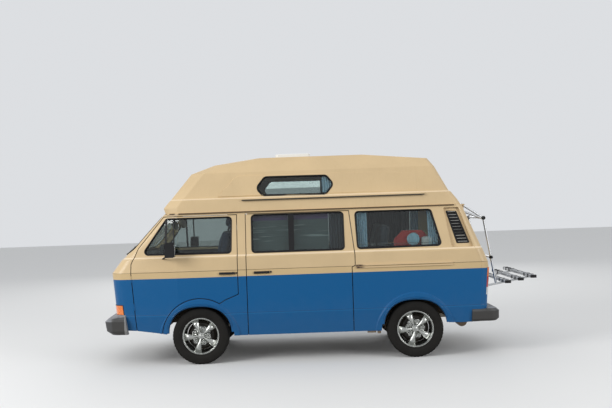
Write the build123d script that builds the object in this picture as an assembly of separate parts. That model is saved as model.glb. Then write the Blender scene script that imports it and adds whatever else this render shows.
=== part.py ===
from build123d import *
from math import atan2, cos, degrees, hypot, radians, sin
import os

os.makedirs("parts", exist_ok=True)

# High-topped camper van with a rear engine and right-hand drive.
# Lengths are millimetres. While a piece is drawn, x is its station behind the front bumper's face,
# y runs towards the van's right side and z up from the ground. Each node is moved at the end so that
# the middle of the whole footprint is the origin and the van faces -x.

# Running gear
wheelbase = 2460
front_axle_x = 1140
rear_axle_x = front_axle_x + wheelbase
wheel_radius = 322
tyre_width = 200
track = 1570
rim_radius = 198
arch_radius = 387
flare_width = 44
flare_out = 14
well_side = 500
kingpin_y = 705
steer_angle = 33

# Body
wall = 45
taper_x = 900
sill_z = 320
crease_z = 575
crease_step = 3
sill_half = 912
paint_z = 1000
nose_z = 1068
waist_z = 1215
ledge_z = 1240
belt_groove_z = 1068
belt_groove_width = 5
belt_groove_depth = 3
gutter_z = 1735
gutter_out = 12
gutter_front_x = 775
gutter_rear_x = 4100
roof_top_z = 2360
roof_wall = 28
floor_z = 500
floor_thickness = 60
cab_floor_z = 560
deck_z = 900

# Clearances
door_gap = 8
fit = 0.3
glass_depth = 12
glass_thickness = 6

# Overall
rack_tip_x = 5090
middle_x = rack_tip_x / 2

wheel_y = track / 2

# Outer skin of the body: one row for each level, from the sills up to the rain gutter.
# Columns: height, front, rear, half width, half width at the nose, bow of the front,
# front corner radius, rear corner radius
body_levels = [
    (sill_z, 175, 4395, 880, 805, 40, 150, 70),
    (crease_z, 125, 4437, sill_half, 845, 40, 160, 80),
    (crease_z + 8, 127, 4435, sill_half - crease_step, 842, 40, 160, 80),
    (paint_z, 97, 4468, 922, 858, 40, 160, 95),
    (nose_z, 90, 4462, 922, 858, 40, 160, 95),
    (waist_z, 200, 4404, 916, 835, 42, 150, 85),
    (ledge_z, 226, 4394, 880, 800, 45, 140, 80),
    (gutter_z, 706, 4195, 803, 745, 45, 110, 70),
]

# Outer skin of the raised roof, in the same columns
roof_levels = [
    (gutter_z, 712, 4188, 797, 740, 45, 110, 70),
    (1797, 690, 4152, 789, 730, 45, 110, 70),
    (1883, 762, 4085, 778, 715, 45, 110, 70),
    (1900, 777, 4062, 748, 690, 45, 100, 60),
    (2190, 1016, 3912, 690, 640, 45, 90, 60),
    (2290, 1290, 3845, 600, 560, 35, 80, 60),
    (roof_top_z, 1800, 3110, 540, 520, 20, 80, 60),
]

# Underside of the body seen from the side: station, height
underside = [(0, 420), (402, 404), (766, 356), (1140, 340), (1513, 320), (3213, 320), (3600, 350),
             (3951, 392), (4124, 383), (4700, 400)]

# Openings seen from the side: station, height
front_door_outline = [(404, 250), (404, 411), (360, 1065), (362, 1170), (440, 1346), (737, 1703),
                      (1594, 1703), (1594, 790), (1435, 726), (1330, 660), (1140, 322), (760, 250)]
sliding_door_outline = [(1686, 250), (1686, 1706), (2886, 1706), (2937, 1216), (2937, 1075),
                        (2900, 1055), (2900, 250)]
front_window = [(486, 1270), (775, 1675), (1528, 1675), (1516, 1264)]
sliding_window = [(1761, 1260), (1761, 1688), (2815, 1688), (2815, 1260)]
quarter_window = [(2971, 1264), (2955, 1686), (3826, 1684), (3933, 1271)]
roof_window = [(1819, 1997), (1922, 2127), (2641, 2123), (2724, 2018), (2632, 1905), (1896, 1911)]
vent_outline = [(4002, 1663), (4126, 1655), (4258, 1285), (4110, 1285)]
vent_pocket = [(3975, 1698), (4148, 1698), (4292, 1246), (4048, 1246)]

# Openings seen from behind or in front: half widths and heights
windscreen_outline = [(-765, 1290), (-690, 1695), (690, 1695), (765, 1290)]
tailgate_outline = [(-735, 742), (-735, 1240), (-682, 1700), (682, 1700), (735, 1240), (735, 742)]
tailgate_window = [(-610, 1290), (-565, 1640), (565, 1640), (610, 1290)]

# Raised panel on each side of the roof: station, height
roof_panel_outline = [(1368, 1902), (1557, 2132), (1619, 2154), (3351, 2154), (3700, 2120), (3700, 1902)]
roof_panel_bevel = 12
roof_panel_out = 10
roof_panel_tail_out = 1

# Bars that stand in front of the panes: station of the middle, width
quarter_light_bars = [(768, 22), (861, 16)]
sliding_window_bar = (2214, 65)

window_corner = 38
roof_window_corner = 60
reach = 1300


# Horizontal outline of a level, set in from the skin by a wall thickness
def level_face(row, inset, drop):
    height, front, rear, half, nose, bow, front_corner, rear_corner = row
    front = front + inset
    rear = rear - inset
    half = half - inset
    nose = nose - inset
    edges = [
        ThreePointArc((front + bow, -nose), (front, 0), (front + bow, nose)),
        Line((front + bow, nose), (max(taper_x, front + 200), half)),
        Line((max(taper_x, front + 200), half), (rear, half)),
        Line((rear, half), (rear, -half)),
        Line((rear, -half), (max(taper_x, front + 200), -half)),
        Line((max(taper_x, front + 200), -half), (front + bow, -nose)),
    ]
    face = make_face(edges)
    nose_corners = face.vertices().filter_by(lambda v: v.X < front + bow + 1)
    face = fillet(nose_corners, max(front_corner - inset, 10))
    tail_corners = face.vertices().filter_by(lambda v: v.X > rear - 1)
    face = fillet(tail_corners, max(rear_corner - inset, 10))
    return Pos(0, 0, height - drop) * face


# Solid inside the skin, set in by a wall thickness
def skin(levels, inset, drop=0):
    return loft([level_face(row, inset, drop) for row in levels], ruled=True)


# Prism through one side of the body, from an outline of stations and heights
def side_prism(points, side, corner=0.0, grow=0.0):
    face = make_face(Polyline(*[(x, z) for x, z in points], close=True))
    if corner > 0:
        face = fillet(face.vertices(), corner)
    if grow != 0:
        face = offset(face, amount=grow, kind=Kind.INTERSECTION)
    solid = extrude(face, reach - well_side)
    upright = Rot(90, 0, 0) * solid
    if side < 0:
        return Pos(0, -well_side, 0) * upright
    return Pos(0, reach, 0) * upright


# Prism along x, from an outline of sideways places and heights
def end_prism(points, start, end, corner=0.0, grow=0.0):
    plane = Plane(origin=(start, 0, 0), x_dir=(0, 1, 0), z_dir=(1, 0, 0))
    face = make_face(Polyline(*points, close=True))
    if corner > 0:
        face = fillet(face.vertices(), corner)
    if grow != 0:
        face = offset(face, amount=grow, kind=Kind.INTERSECTION)
    return extrude(plane * face, end - start)


# Box from its low and high corners
def block(x0, x1, y0, y1, z0, z1):
    return Pos((x0 + x1) / 2, (y0 + y1) / 2, (z0 + z1) / 2) * Box(x1 - x0, y1 - y0, z1 - z0)


# Rod between two points
def rod(start, end, radius):
    start = Vector(*start)
    run = Vector(*end) - start
    plane = Plane(origin=start, z_dir=run)
    return extrude(plane * Circle(radius), run.length)


# Cylinder across the van
def cross_rod(x, z, y0, y1, radius):
    return rod((x, y0, z), (x, y1, z), radius)


def mirrored(solid):
    return mirror(solid, about=Plane.XZ)


def save(solid, name):
    export_step(Pos(-middle_x, 0, 0) * solid, f"parts/{name}.step")


# Space swept by the wheels
def wheel_space(radius):
    space = []
    for axle_x in (front_axle_x, rear_axle_x):
        space.append(cross_rod(axle_x, wheel_radius, -reach, -well_side, radius))
        space.append(cross_rod(axle_x, wheel_radius, well_side, reach, radius))
    return space


outer = skin(body_levels, 0)
inner = skin(body_levels, wall)
under = make_face(Polyline((-50, 100), *underside, (4700, 100), close=True))
under_cut = Pos(0, reach, 0) * (Rot(90, 0, 0) * extrude(under, 2 * reach))
shell = outer - inner - under_cut
belt_groove = block(372, 4400, -reach, reach, belt_groove_z - belt_groove_width / 2,
                    belt_groove_z + belt_groove_width / 2) - skin(body_levels, belt_groove_depth)
shell = shell - belt_groove

# Flared lips round the wheel arches, thinning towards the skin
flare_band = skin(body_levels, -flare_out) - skin(body_levels, wall / 2) - under_cut
flare_edge = arch_radius + flare_width
flare_depth = 60
for axle_x in (front_axle_x, rear_axle_x):
    for side in (-1, 1):
        cone = Cone(flare_edge - flare_out + flare_depth, flare_edge - flare_out, flare_depth)
        lip_y = side * (sill_half + flare_out - flare_depth / 2)
        lip = Pos(axle_x, lip_y, wheel_radius) * (Rot(-90 * side, 0, 0) * cone)
        shell += lip & flare_band
for space in wheel_space(arch_radius):
    shell = shell - space

# Pockets in the rear quarters, with the louvred intakes at their floor
pocket_depth = 28
pocket = side_prism(vent_pocket, -1, 14) - skin(body_levels, pocket_depth)
shell = shell - pocket - mirrored(pocket)

# Rain gutters, open upwards
gutter_low = gutter_z - 14
gutter_rows = [(gutter_low, 690, 4200, 806 + gutter_out, 748 + gutter_out, 45, 110, 70),
               (gutter_z, 706, 4195, 803 + gutter_out, 745 + gutter_out, 45, 110, 70)]
gutter_hollow = skin(gutter_rows, 4, -5) - skin(body_levels, -2)
gutter = (skin(gutter_rows, 0) - gutter_hollow - inner) & block(gutter_front_x, gutter_rear_x, -reach, reach, 0, 3000)
shell = shell + gutter

glass_skin = skin(body_levels, glass_depth) - skin(body_levels, glass_depth + glass_thickness)

# Front door, cut from the shell with its window
front_zone = [(-50, 250), (404, 250), (404, 411), (360, 1065), (362, 1170), (440, 1346), (737, 1703),
              (765, 1760), (-50, 1760)]
rear_zone = [(4350, 250), (4370, 1070), (4106, 1760), (4700, 1760), (4700, 250)]


def both_sides(points):
    face = make_face(Polyline(*points, close=True))
    return Pos(0, reach, 0) * (Rot(90, 0, 0) * extrude(face, 2 * reach))


front_prism = both_sides(front_zone)
rear_prism = both_sides(rear_zone)
middle_shell = shell - front_prism - rear_prism
left_half = block(-50, 5000, -reach, 0, 0, 3000)
side_left = middle_shell & left_half
side_right = mirrored(side_left)

door_prism = side_prism(front_door_outline, -1)
door_prism -= cross_rod(front_axle_x, wheel_radius, -reach, -well_side, flare_edge)
door_solid = side_prism(front_door_outline, -1, grow=-door_gap)
door_solid -= cross_rod(front_axle_x, wheel_radius, -reach, -well_side, flare_edge + door_gap)
door_left = (shell & door_solid) - side_prism(front_window, -1, window_corner)
side_left = side_left - door_prism
side_right = side_right - mirrored(door_prism)

# Sliding door on the left
sliding_prism = side_prism(sliding_door_outline, -1)
sliding_solid = side_prism(sliding_door_outline, -1, grow=-door_gap)
sliding_door = (shell & sliding_solid) - side_prism(sliding_window, -1, window_corner)
side_left = side_left - sliding_prism
side_right = side_right - side_prism(sliding_window, 1, window_corner)
for side, name in ((-1, "left"), (1, "right")):
    cuts = side_prism(quarter_window, side, window_corner) + side_prism(vent_outline, side, 12)
    if side < 0:
        side_left = side_left - cuts
    else:
        side_right = side_right - cuts

# Panes, held half way through the walls
door_glass_left = glass_skin & side_prism(front_window, -1, window_corner, -fit)
panes = [glass_skin & side_prism(sliding_window, -1, window_corner, -fit)]
panes.append(glass_skin & side_prism(sliding_window, 1, window_corner, -fit))
for side in (-1, 1):
    panes.append(glass_skin & side_prism(quarter_window, side, window_corner, -fit))

# Bars in front of the panes
bar_skin = skin(body_levels, 2) - skin(body_levels, glass_depth - fit)


def window_bar(outline, middle, width, side):
    bar_zone = block(middle - width / 2, middle + width / 2, -reach, reach, waist_z, gutter_z)
    return bar_skin & side_prism(outline, side, window_corner, -fit) & bar_zone


door_bars_left = None
for middle, width in quarter_light_bars:
    bar = window_bar(front_window, middle, width, -1)
    door_bars_left = bar if door_bars_left is None else door_bars_left + bar
window_bars = window_bar(sliding_window, *sliding_window_bar, -1) + window_bar(sliding_window, *sliding_window_bar, 1)

# Nose
front_panel = (shell & front_prism) - end_prism(windscreen_outline, 0, 1000, 60)
windscreen = glass_skin & end_prism(windscreen_outline, 0, 1000, 60, -fit)

# Tail
tailgate_cut = end_prism(tailgate_outline, 4050, 4600, 40)
tailgate_prism = end_prism(tailgate_outline, 4050, 4600, 40, -door_gap)
rear_panel = (shell & rear_prism) - tailgate_cut
tailgate = (shell & rear_prism & tailgate_prism) - end_prism(tailgate_window, 4050, 4600, 50)
tailgate_glass = glass_skin & end_prism(tailgate_window, 4050, 4600, 50, -fit)

# Raised roof
roof_outer = skin(roof_levels, 0)
roof_inner = skin(roof_levels, roof_wall, roof_wall)
high_roof = roof_outer - roof_inner

# Raised panels on the leaning sides of the roof, bevelled all round and dying out towards the tail
lean_low, lean_high = roof_levels[3], roof_levels[4]
lean_rise = hypot(lean_high[0] - lean_low[0], lean_low[3] - lean_high[3])
lean_share = lean_rise / (lean_high[0] - lean_low[0])
lean_plane = Plane(origin=(0, -lean_low[3], lean_low[0]), x_dir=(1, 0, 0),
                   z_dir=(0, lean_low[0] - lean_high[0], lean_low[3] - lean_high[3]))
panel_root = -8
panel_middle = (2500, 2030)


# How far the panel stands out, thinning towards its rear end
def panel_out(x):
    share = (x - roof_panel_outline[0][0]) / (roof_panel_outline[-1][0] - roof_panel_outline[0][0])
    return roof_panel_out + (roof_panel_tail_out - roof_panel_out) * share


# Point of the raised panel in the leaning plane, pulled in towards the panel's middle
def panel_point(x, z, raised):
    pull = roof_panel_bevel if raised else 0
    x_in = x + (pull if x < panel_middle[0] else -pull)
    z_in = z + (pull if z < panel_middle[1] else -pull)
    out = panel_out(x_in) if raised else panel_root
    return lean_plane.from_local_coords((x_in, (z_in - lean_low[0]) * lean_share, out))


panel_foot = make_face(Polyline(*[panel_point(x, z, False) for x, z in roof_panel_outline], close=True))
panel_top = make_face(Polyline(*[panel_point(x, z, True) for x, z in roof_panel_outline], close=True))
roof_panel = loft([panel_foot, panel_top], ruled=True)
high_roof = high_roof + roof_panel + mirrored(roof_panel)

# Floor, with the blocks round the wheel wells, the seat platform and the rear deck
inside = skin(body_levels, wall + fit)
inside_clear = skin(body_levels, wall + door_gap)
door_front_x = 352
door_rear_x = 1602
platform_z = 800
well_front = front_axle_x - arch_radius - 30
well_rear = front_axle_x + arch_radius + 30
rear_well_front = rear_axle_x - arch_radius - 30
rear_well_rear = rear_axle_x + arch_radius + 30
floor_low = floor_z - floor_thickness
nose_floor = block(100, door_front_x, -reach, reach, cab_floor_z - floor_thickness, cab_floor_z) & inside
cab_floor = block(door_front_x, well_front, -reach, reach, cab_floor_z - floor_thickness, cab_floor_z)
platform = block(well_front, well_rear, -reach, reach, floor_low, platform_z)
cab_base = (cab_floor + platform + block(well_rear, door_rear_x, -reach, reach, floor_low, floor_z)) & inside_clear
living_floor = block(door_rear_x, rear_well_front, -reach, reach, floor_low, floor_z)
rear_wells = block(rear_well_front, rear_well_rear, -reach, reach, floor_low, deck_z)
rear_wells -= block(rear_well_front + 40, rear_well_rear + 10, -well_side + 30, well_side - 30, 0, deck_z - 40)
rear_deck = block(rear_well_rear, 4600, -reach, reach, deck_z - 40, deck_z)
rear_floor = living_floor & inside
floor_pan = nose_floor + cab_base + rear_floor
rear_deck = (rear_wells + rear_deck) & inside
for space in wheel_space(arch_radius):
    floor_pan = floor_pan - space
    rear_deck = rear_deck - space

# Wheels, drawn at the hub with the outer face towards -y
bead_radius = 204
tyre_profile = [(-76, bead_radius), (-76, 213), (-100, 240), (-99, 292), (-84, wheel_radius), (84, wheel_radius),
                (99, 292), (100, 240), (76, 213), (76, bead_radius)]
tyre_face = Plane.YX * make_face(Polyline(*tyre_profile, close=True))
tyre_face = fillet(tyre_face.vertices().filter_by(lambda v: hypot(v.X, v.Z) > bead_radius + 15), 14)
tyre = revolve(tyre_face, Axis.Y)

rim_half = 81.3
barrel_inner = bead_radius - 9
spoke_count = 5
face_y = -46
disc_thickness = 34
hub_radius = 46
lug_circle = 56
lug_radius = 13
stub_radius = 28
barrel_profile = [(-rim_half, barrel_inner), (-rim_half, bead_radius + 5), (-rim_half + 5, bead_radius + 5),
                  (-rim_half + 5, bead_radius - fit), (rim_half - 5, bead_radius - fit),
                  (rim_half - 5, bead_radius + 5), (rim_half, bead_radius + 5), (rim_half, barrel_inner)]
rim = revolve(Plane.YX * make_face(Polyline(*barrel_profile, close=True)), Axis.Y)
hub = cross_rod(0, 0, face_y - 10, face_y + disc_thickness + 20, hub_radius + 26)
spoke_outline = [(20, -24), (hub_radius + 30, -22), (120, -30), (barrel_inner + 3, -62),
                 (barrel_inner + 3, 62), (120, 30), (hub_radius + 30, 22), (20, 24)]
spoke_face = Plane.XZ * make_face(Polyline(*spoke_outline, close=True))
spoke = Pos(0, face_y + disc_thickness - 8, 0) * extrude(spoke_face, disc_thickness)
spoke = spoke & cross_rod(0, 0, -200, 200, barrel_inner + 4)
first_spoke = 40
rim = rim + hub
for k in range(spoke_count):
    rim = rim + Rot(0, first_spoke + 360 / spoke_count * k, 0) * spoke
for k in range(spoke_count):
    angle = radians(first_spoke + 360 / spoke_count * (k + 0.5))
    lug_x = lug_circle * cos(angle)
    lug_z = -lug_circle * sin(angle)
    rim = rim + cross_rod(lug_x, lug_z, face_y - 24, face_y, lug_radius)
rim = rim + cross_rod(0, 0, face_y - 22, face_y, 30)
rim = rim - cross_rod(0, 0, -12, 200, stub_radius)

wheel_places = [("front_left", front_axle_x, -1), ("front_right", front_axle_x, 1),
                ("rear_left", rear_axle_x, -1), ("rear_right", rear_axle_x, 1)]


def place_wheel(solid, axle_x, side):
    if side > 0:
        solid = mirrored(solid)
    return Pos(axle_x, side * wheel_y, wheel_radius) * solid


# Knuckles of the front wheels, turning about an upright kingpin
knuckle_half = 125
knuckle_left = block(front_axle_x - 32, front_axle_x + 32, -kingpin_y - 28, -kingpin_y + 28,
                     wheel_radius - knuckle_half, wheel_radius + knuckle_half)
knuckle_left += cross_rod(front_axle_x, wheel_radius, -wheel_y - 8, -kingpin_y, stub_radius - fit)
knuckle_left += cross_rod(front_axle_x, wheel_radius, -kingpin_y - 34, -kingpin_y, 62)
knuckle_left += block(front_axle_x + 30, front_axle_x + 130, -kingpin_y - 2, -kingpin_y + 22,
                      wheel_radius - 60, wheel_radius - 38)

# Front suspension: cross member, lower and upper arms, and the struts in the wells
arm_low = wheel_radius - knuckle_half - fit
arm_high = wheel_radius + knuckle_half + fit
arm_pad = 24
strut_y = 560
front_axle = block(1070, 1210, -340, 340, 190, floor_low - fit)
for side in (-1, 1):
    pad = Pos(front_axle_x, side * kingpin_y, arm_low - 11) * Cylinder(arm_pad, 22)
    arm = block(front_axle_x - 20, front_axle_x + 20, min(side * 300, side * kingpin_y),
                max(side * 300, side * kingpin_y), arm_low - 22, arm_low)
    upper_pad = Pos(front_axle_x, side * kingpin_y, arm_high + 10) * Cylinder(arm_pad, 20)
    upper = block(front_axle_x - 18, front_axle_x + 18, min(side * (well_side + fit), side * kingpin_y),
                  max(side * (well_side + fit), side * kingpin_y), arm_high, arm_high + 20)
    strut = rod((front_axle_x, side * strut_y, arm_low - 10), (front_axle_x, side * strut_y, wheel_radius + arch_radius - 1.7), 32)
    front_axle += pad + arm + upper_pad + upper + strut

# Rear suspension: cross tube, trailing arms, stub axles and struts
rear_axle = cross_rod(3300, 330, -620, 620, 34)
for side in (-1, 1):
    rear_axle += block(3272, 3328, min(side * 474, side * 496), max(side * 474, side * 496), 330, floor_low - fit)
    rear_axle += rod((3300, side * 560, 330), (rear_axle_x, side * 610, wheel_radius), 32)
    rear_axle += cross_rod(rear_axle_x, wheel_radius, min(side * 590, side * 690), max(side * 590, side * 690), 66)
    rear_axle += cross_rod(rear_axle_x, wheel_radius, min(side * 600, side * (wheel_y + 8)),
                           max(side * 600, side * (wheel_y + 8)), stub_radius - fit)
    rear_axle += rod((rear_axle_x, side * 600, wheel_radius), (rear_axle_x, side * 600, wheel_radius + arch_radius - 1.5), 30)

# Engine and gearbox as one plain block, hung from the rear deck, with the silencer below
engine = block(3880, 4330, -330, 330, 372, 790) + block(3420, 3880, -150, 150, 350, 600)
engine += block(4000, 4200, -60, 60, 700, deck_z - 40 - fit)
exhaust = cross_rod(4240, 372 - 62 - fit, -300, 260, 62)
exhaust += rod((4240, -260, 310), (4420, -330, 340), 22)

# Bumpers, seated on the body
bumper_levels = [
    (368, 74, 5000, 912, 870, 40, 110, 60),
    (410, 18, 5000, 924, 884, 40, 110, 60),
    (520, 0, 5000, 925, 885, 40, 110, 60),
    (545, 30, 5000, 918, 880, 40, 110, 60),
    (592, 125, 5000, 900, 845, 35, 110, 60),
]
body_clear = skin(body_levels, -fit)
bumper_end = both_sides([(-50, 300), (318, 300), (280, 620), (-50, 620)])
front_bumper = (skin(bumper_levels, 0) & bumper_end) - body_clear
rear_bumper_levels = [
    (392, 1000, 4540, 905, 880, 40, 60, 90),
    (418, 1000, 4568, 921, 890, 40, 60, 100),
    (505, 1000, 4570, 922, 890, 40, 60, 100),
    (532, 1000, 4540, 905, 880, 40, 60, 90),
]
rear_bumper_end = both_sides([(4235, 300), (5000, 300), (5000, 620), (4255, 620)])
rear_bumper = (skin(rear_bumper_levels, 0) & rear_bumper_end) - body_clear

# Grilles and lamps of the nose, set in shallow recesses
recess = 24
recess_floor = skin(body_levels, recess)
grille_zone = block(0, 300, -700, 700, 800, 1035)
lower_grille_zone = block(0, 300, -640, 640, 605, 700)
lamp_spots = [(-580, 918), (580, 918)]
lamp_radius = 92
front_panel -= (outer - recess_floor) & (grille_zone + lower_grille_zone)
grille_skin = skin(body_levels, 2) - skin(body_levels, recess - fit)
upper_grille = grille_skin & block(0, 300, -700 + fit, 700 - fit, 800 + fit, 1035 - fit)
lower_grille = grille_skin & block(0, 300, -640 + fit, 640 - fit, 605 + fit, 700 - fit)
slot_pitch = 26
for low in range(820, 1010, slot_pitch):
    upper_grille -= block(0, 112, -470, 470, low, low + 13) & skin(body_levels, -5)
for y, z in lamp_spots:
    upper_grille -= rod((0, y, z), (400, y, z), lamp_radius)
head_lamps = (skin(body_levels, -4) - skin(body_levels, recess - fit))
lamps = None
for y, z in lamp_spots:
    lamp = head_lamps & rod((0, y, z), (400, y, z), lamp_radius - fit)
    lamps = lamp if lamps is None else lamps + lamp
indicator_zone = [(0, 594), (262, 594), (252, 698), (0, 698)]
indicator_prism = both_sides(indicator_zone) - block(-50, 400, -680, 680, 0, 2000)
front_panel -= (outer - recess_floor) & indicator_prism
indicator_skin = skin(body_levels, -5) - skin(body_levels, recess - fit)
indicator_inner = both_sides([(0, 594 + fit), (262 - fit, 594 + fit), (252 - fit, 698 - fit), (0, 698 - fit)])
indicators = (indicator_skin & indicator_inner) - block(-50, 400, -680 - fit, 680 + fit, 0, 2000)

# Tail lamps on the rear corners
tail_lamp_zone = block(4400, 4700, -890, -745, 690, 1000)
tail_zone = tail_lamp_zone + mirrored(tail_lamp_zone)
rear_panel -= (outer - recess_floor) & tail_zone
lamp_body = block(4400 + fit, 4700, -890 + fit, -745 - fit, 690 + fit, 1000 - fit)
rear_lamps = (skin(body_levels, -6) - skin(body_levels, recess - fit)) & (lamp_body + mirrored(lamp_body))

# Louvred air intakes behind the quarter windows
vent_back = skin(body_levels, wall - 4) - skin(body_levels, wall)
vent_band = skin(body_levels, pocket_depth - 3) - skin(body_levels, wall)
vent_space = side_prism(vent_outline, -1, 12, -fit)
louvre_count = 11
vent_low = 1285
vent_high = 1663
louvre_pitch = (vent_high - vent_low) / louvre_count
vent = vent_back & vent_space
for k in range(louvre_count):
    z = vent_low + louvre_pitch * (k + 0.5)
    slat = Pos(0, -reach / 2, z) * Rot(28, 0, 0) * Box(9000, reach, 6)
    vent = vent + (vent_band & vent_space & slat)
frame_space = side_prism(vent_outline, -1, 12, -16)
vent = vent + ((vent_band & vent_space) - frame_space)
air_vents = vent + mirrored(vent)

# Rail of the sliding door on the left quarter, and rollers that carry the door
rail_z = 1065
rail = block(2945, 4042, -934, -905, rail_z - 20, rail_z + 18)
rail -= block(2950, 4100, -940, -912, rail_z - 6, rail_z + 5)
slide_rail = rail - skin(body_levels, -fit)

# Handles
handle_y = 938
door_left += block(1380, 1560, -handle_y, -915, 1022, 1050) - inner
sliding_door += block(1775, 1955, -handle_y, -915, 1025, 1053) - inner

# Half width of the skin at a station and height
def half_width(x, z):
    for low, high in zip(body_levels, body_levels[1:]):
        if low[0] <= z <= high[0]:
            share = (z - low[0]) / (high[0] - low[0])
            row = [a + (b - a) * share for a, b in zip(low, high)]
            along = (x - row[1] - row[5]) / (taper_x - row[1] - row[5])
            return row[4] + (row[3] - row[4]) * min(along, 1)


# Door hinges in the front shut line
hinge_line = [(404, 411), (360, 1065)]
hinge_heights = (640, 960)
hinge_length = 76
hinge_radius = door_gap / 2 - fit


def hinge_point(z):
    (x0, z0), (x1, z1) = hinge_line
    x = x0 + (x1 - x0) * (z - z0) / (z1 - z0) + door_gap / 2
    return Vector(x, -half_width(x, z) - 1, z)


hinge_low = hinge_point(hinge_heights[0])
hinge_high = hinge_point(hinge_heights[1] + hinge_length)
hinge_axis = (hinge_high - hinge_low).normalized()
for z in hinge_heights:
    start = hinge_low + hinge_axis * ((z - hinge_low.Z) / hinge_axis.Z)
    end = start + hinge_axis * hinge_length
    leaf = block(start.X - 6, start.X + 12, start.Y - 3, start.Y + 9, z + 1, z + hinge_length - 1) & door_solid
    door_left += rod(start, end, hinge_radius) + block(start.X, start.X + 8, start.Y - 1.5, start.Y + 5, z + 1,
                                                      z + hinge_length - 1)
    door_left += leaf

# Mirrors on the front doors
mirror_left = fillet(block(790, 900, -1068, -962, 1240, 1412).edges().filter_by(Axis.Y), 22)
mirror_left += rod((800, -1010, 1252), (730, -872, 1218), 9)
mirror_left -= skin(body_levels, -fit)

# Awning rail under the raised roof's ledge
awning_rail = block(1654, 3765, -806, -770, 1858, 1880) - skin(roof_levels, -fit)

# Roof windows
roof_glass_skin = skin(roof_levels, 8, 8) - skin(roof_levels, 14, 14)
for side in (-1, 1):
    high_roof = high_roof - side_prism(roof_window, side, roof_window_corner)
    panes.append(roof_glass_skin & side_prism(roof_window, side, roof_window_corner, -fit))
side_windows = panes[0]
for pane in panes[1:]:
    side_windows = side_windows + pane

# Roof vent: hatch through the roof, its frame and its lid
vent_x0 = 2045
vent_x1 = 2455
vent_half = 205
lid_gap = 6
high_roof -= block(vent_x0 + 30, vent_x1 - 30, -vent_half + 30, vent_half - 30, 2200, 2400)
high_roof += block(vent_x0, vent_x1, -vent_half, vent_half, roof_top_z - 10, roof_top_z + 14) - \
    block(vent_x0 + 30, vent_x1 - 30, -vent_half + 30, vent_half - 30, 2200, 2400)
lid_low = roof_top_z + 14 + lid_gap
vent_lid = block(vent_x0 - 8, vent_x1 + 8, -vent_half - 8, vent_half + 8, lid_low, lid_low + 44)
vent_lid = fillet(vent_lid.edges().filter_by(Axis.Z), 40)
vent_lid = chamfer(vent_lid.faces().sort_by(Axis.Z)[-1].edges(), 14)
lid_hinge_x = vent_x1 + 2
vent_lid += cross_rod(lid_hinge_x, lid_low + 4, -60, 60, 9.7)


# Tailgate hinges, standing behind the tail above the tailgate's top edge
tail_hinge = (4245, 1725)
tail_hinge_y = 600
tail_hinge_half = 28
tail_barrel = 9
for side in (-1, 1):
    y = side * tail_hinge_y
    leaf = block(4195, tail_hinge[0], y - tail_hinge_half, y + tail_hinge_half, 1668, tail_hinge[1]) - \
        block(4100, tail_hinge[0] - 2 * tail_barrel, y - 50, y + 50, 1688, 1800)
    leaf = leaf - skin(body_levels, 6)
    tailgate += leaf + cross_rod(*tail_hinge, y - tail_hinge_half, y + tail_hinge_half, tail_barrel)
    for end in (-1, 1):
        lug_y = y + end * (tail_hinge_half + fit + 9)
        rear_panel += cross_rod(*tail_hinge, lug_y - 9, lug_y + 9, tail_barrel)
        rear_panel += block(4185, tail_hinge[0], lug_y - 9, lug_y + 9, 1717, 1733)

# Bicycle carrier on the tailgate: hooked at its top edge, resting at its foot
tube = 13
carrier_y = 430
carrier_top = (4243, 1740)
carrier_joint = (4515, 1558)
carrier_foot = (4639, 775)
platform_start = (4505, 742)
platform_end = (rack_tip_x - tube, 842)
channel_half = 660
channel_count = 3
bike_rack = None
for side in (-1, 1):
    y = side * carrier_y
    hook = block(4150, 4272, y - 15, y + 15, 1630, 1662) - skin(body_levels, -fit)
    arm = rod((carrier_top[0], y, carrier_top[1]), (carrier_joint[0], y, carrier_joint[1]), tube)
    link = rod((4258, y, 1645), (carrier_top[0], y, carrier_top[1]), tube)
    stay = rod((4262, y, 1650), (carrier_joint[0], y, carrier_joint[1] - 10), tube)
    upright = rod((carrier_joint[0], y, carrier_joint[1]), (carrier_foot[0], y, carrier_foot[1]), tube)
    runner = rod((platform_start[0], y, platform_start[1]), (platform_end[0], y, platform_end[1]), tube)
    foot = block(4440, 4520, y - 20, y + 20, 752, 800) - skin(body_levels, -fit)
    joint = cross_rod(carrier_joint[0], carrier_joint[1], y - 20, y + 20, 22)
    frame = hook + arm + link + stay + upright + runner + foot + joint
    bike_rack = frame if bike_rack is None else bike_rack + frame
bike_rack += cross_rod(carrier_joint[0], carrier_joint[1], -carrier_y, carrier_y, tube)
bike_rack += cross_rod(4590, 1084, -carrier_y, carrier_y, tube)
bike_rack += cross_rod(*platform_start, -carrier_y, carrier_y, tube)
bike_rack += cross_rod(*platform_end, -carrier_y, carrier_y, tube)
rise = (platform_end[1] - platform_start[1]) / (platform_end[0] - platform_start[0])
for k in range(channel_count):
    x = 4730 + 150 * k
    z = platform_start[1] + rise * (x - platform_start[0]) + tube
    channel = block(x - 32, x + 32, -channel_half, channel_half, z - 4, z + 26)
    channel -= block(x - 24, x + 24, -channel_half - 1, channel_half + 1, z + 4, z + 40)
    bike_rack += channel

# Dashboard with the steering column, right-hand drive
dash_outline = [(150, 1060), (230, 1215), (330, 1262), (590, 1248), (640, 1180), (600, 960), (480, 900),
                (330, 940)]
dash_prism = both_sides(dash_outline)
dashboard = (dash_prism & inside & block(0, door_front_x, -reach, reach, 0, 2000)) + \
    (dash_prism & inside_clear & block(door_front_x, 900, -reach, reach, 0, 2000))
driver_y = 410
column_axis = Vector(0.5, 0, 0.866).normalized()
steering_centre = Vector(708, driver_y, 1224)
steering_radius = 196
column_end = steering_centre - column_axis * (24 + fit)
dashboard += rod(column_end - column_axis * 180, column_end, 24)

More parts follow.
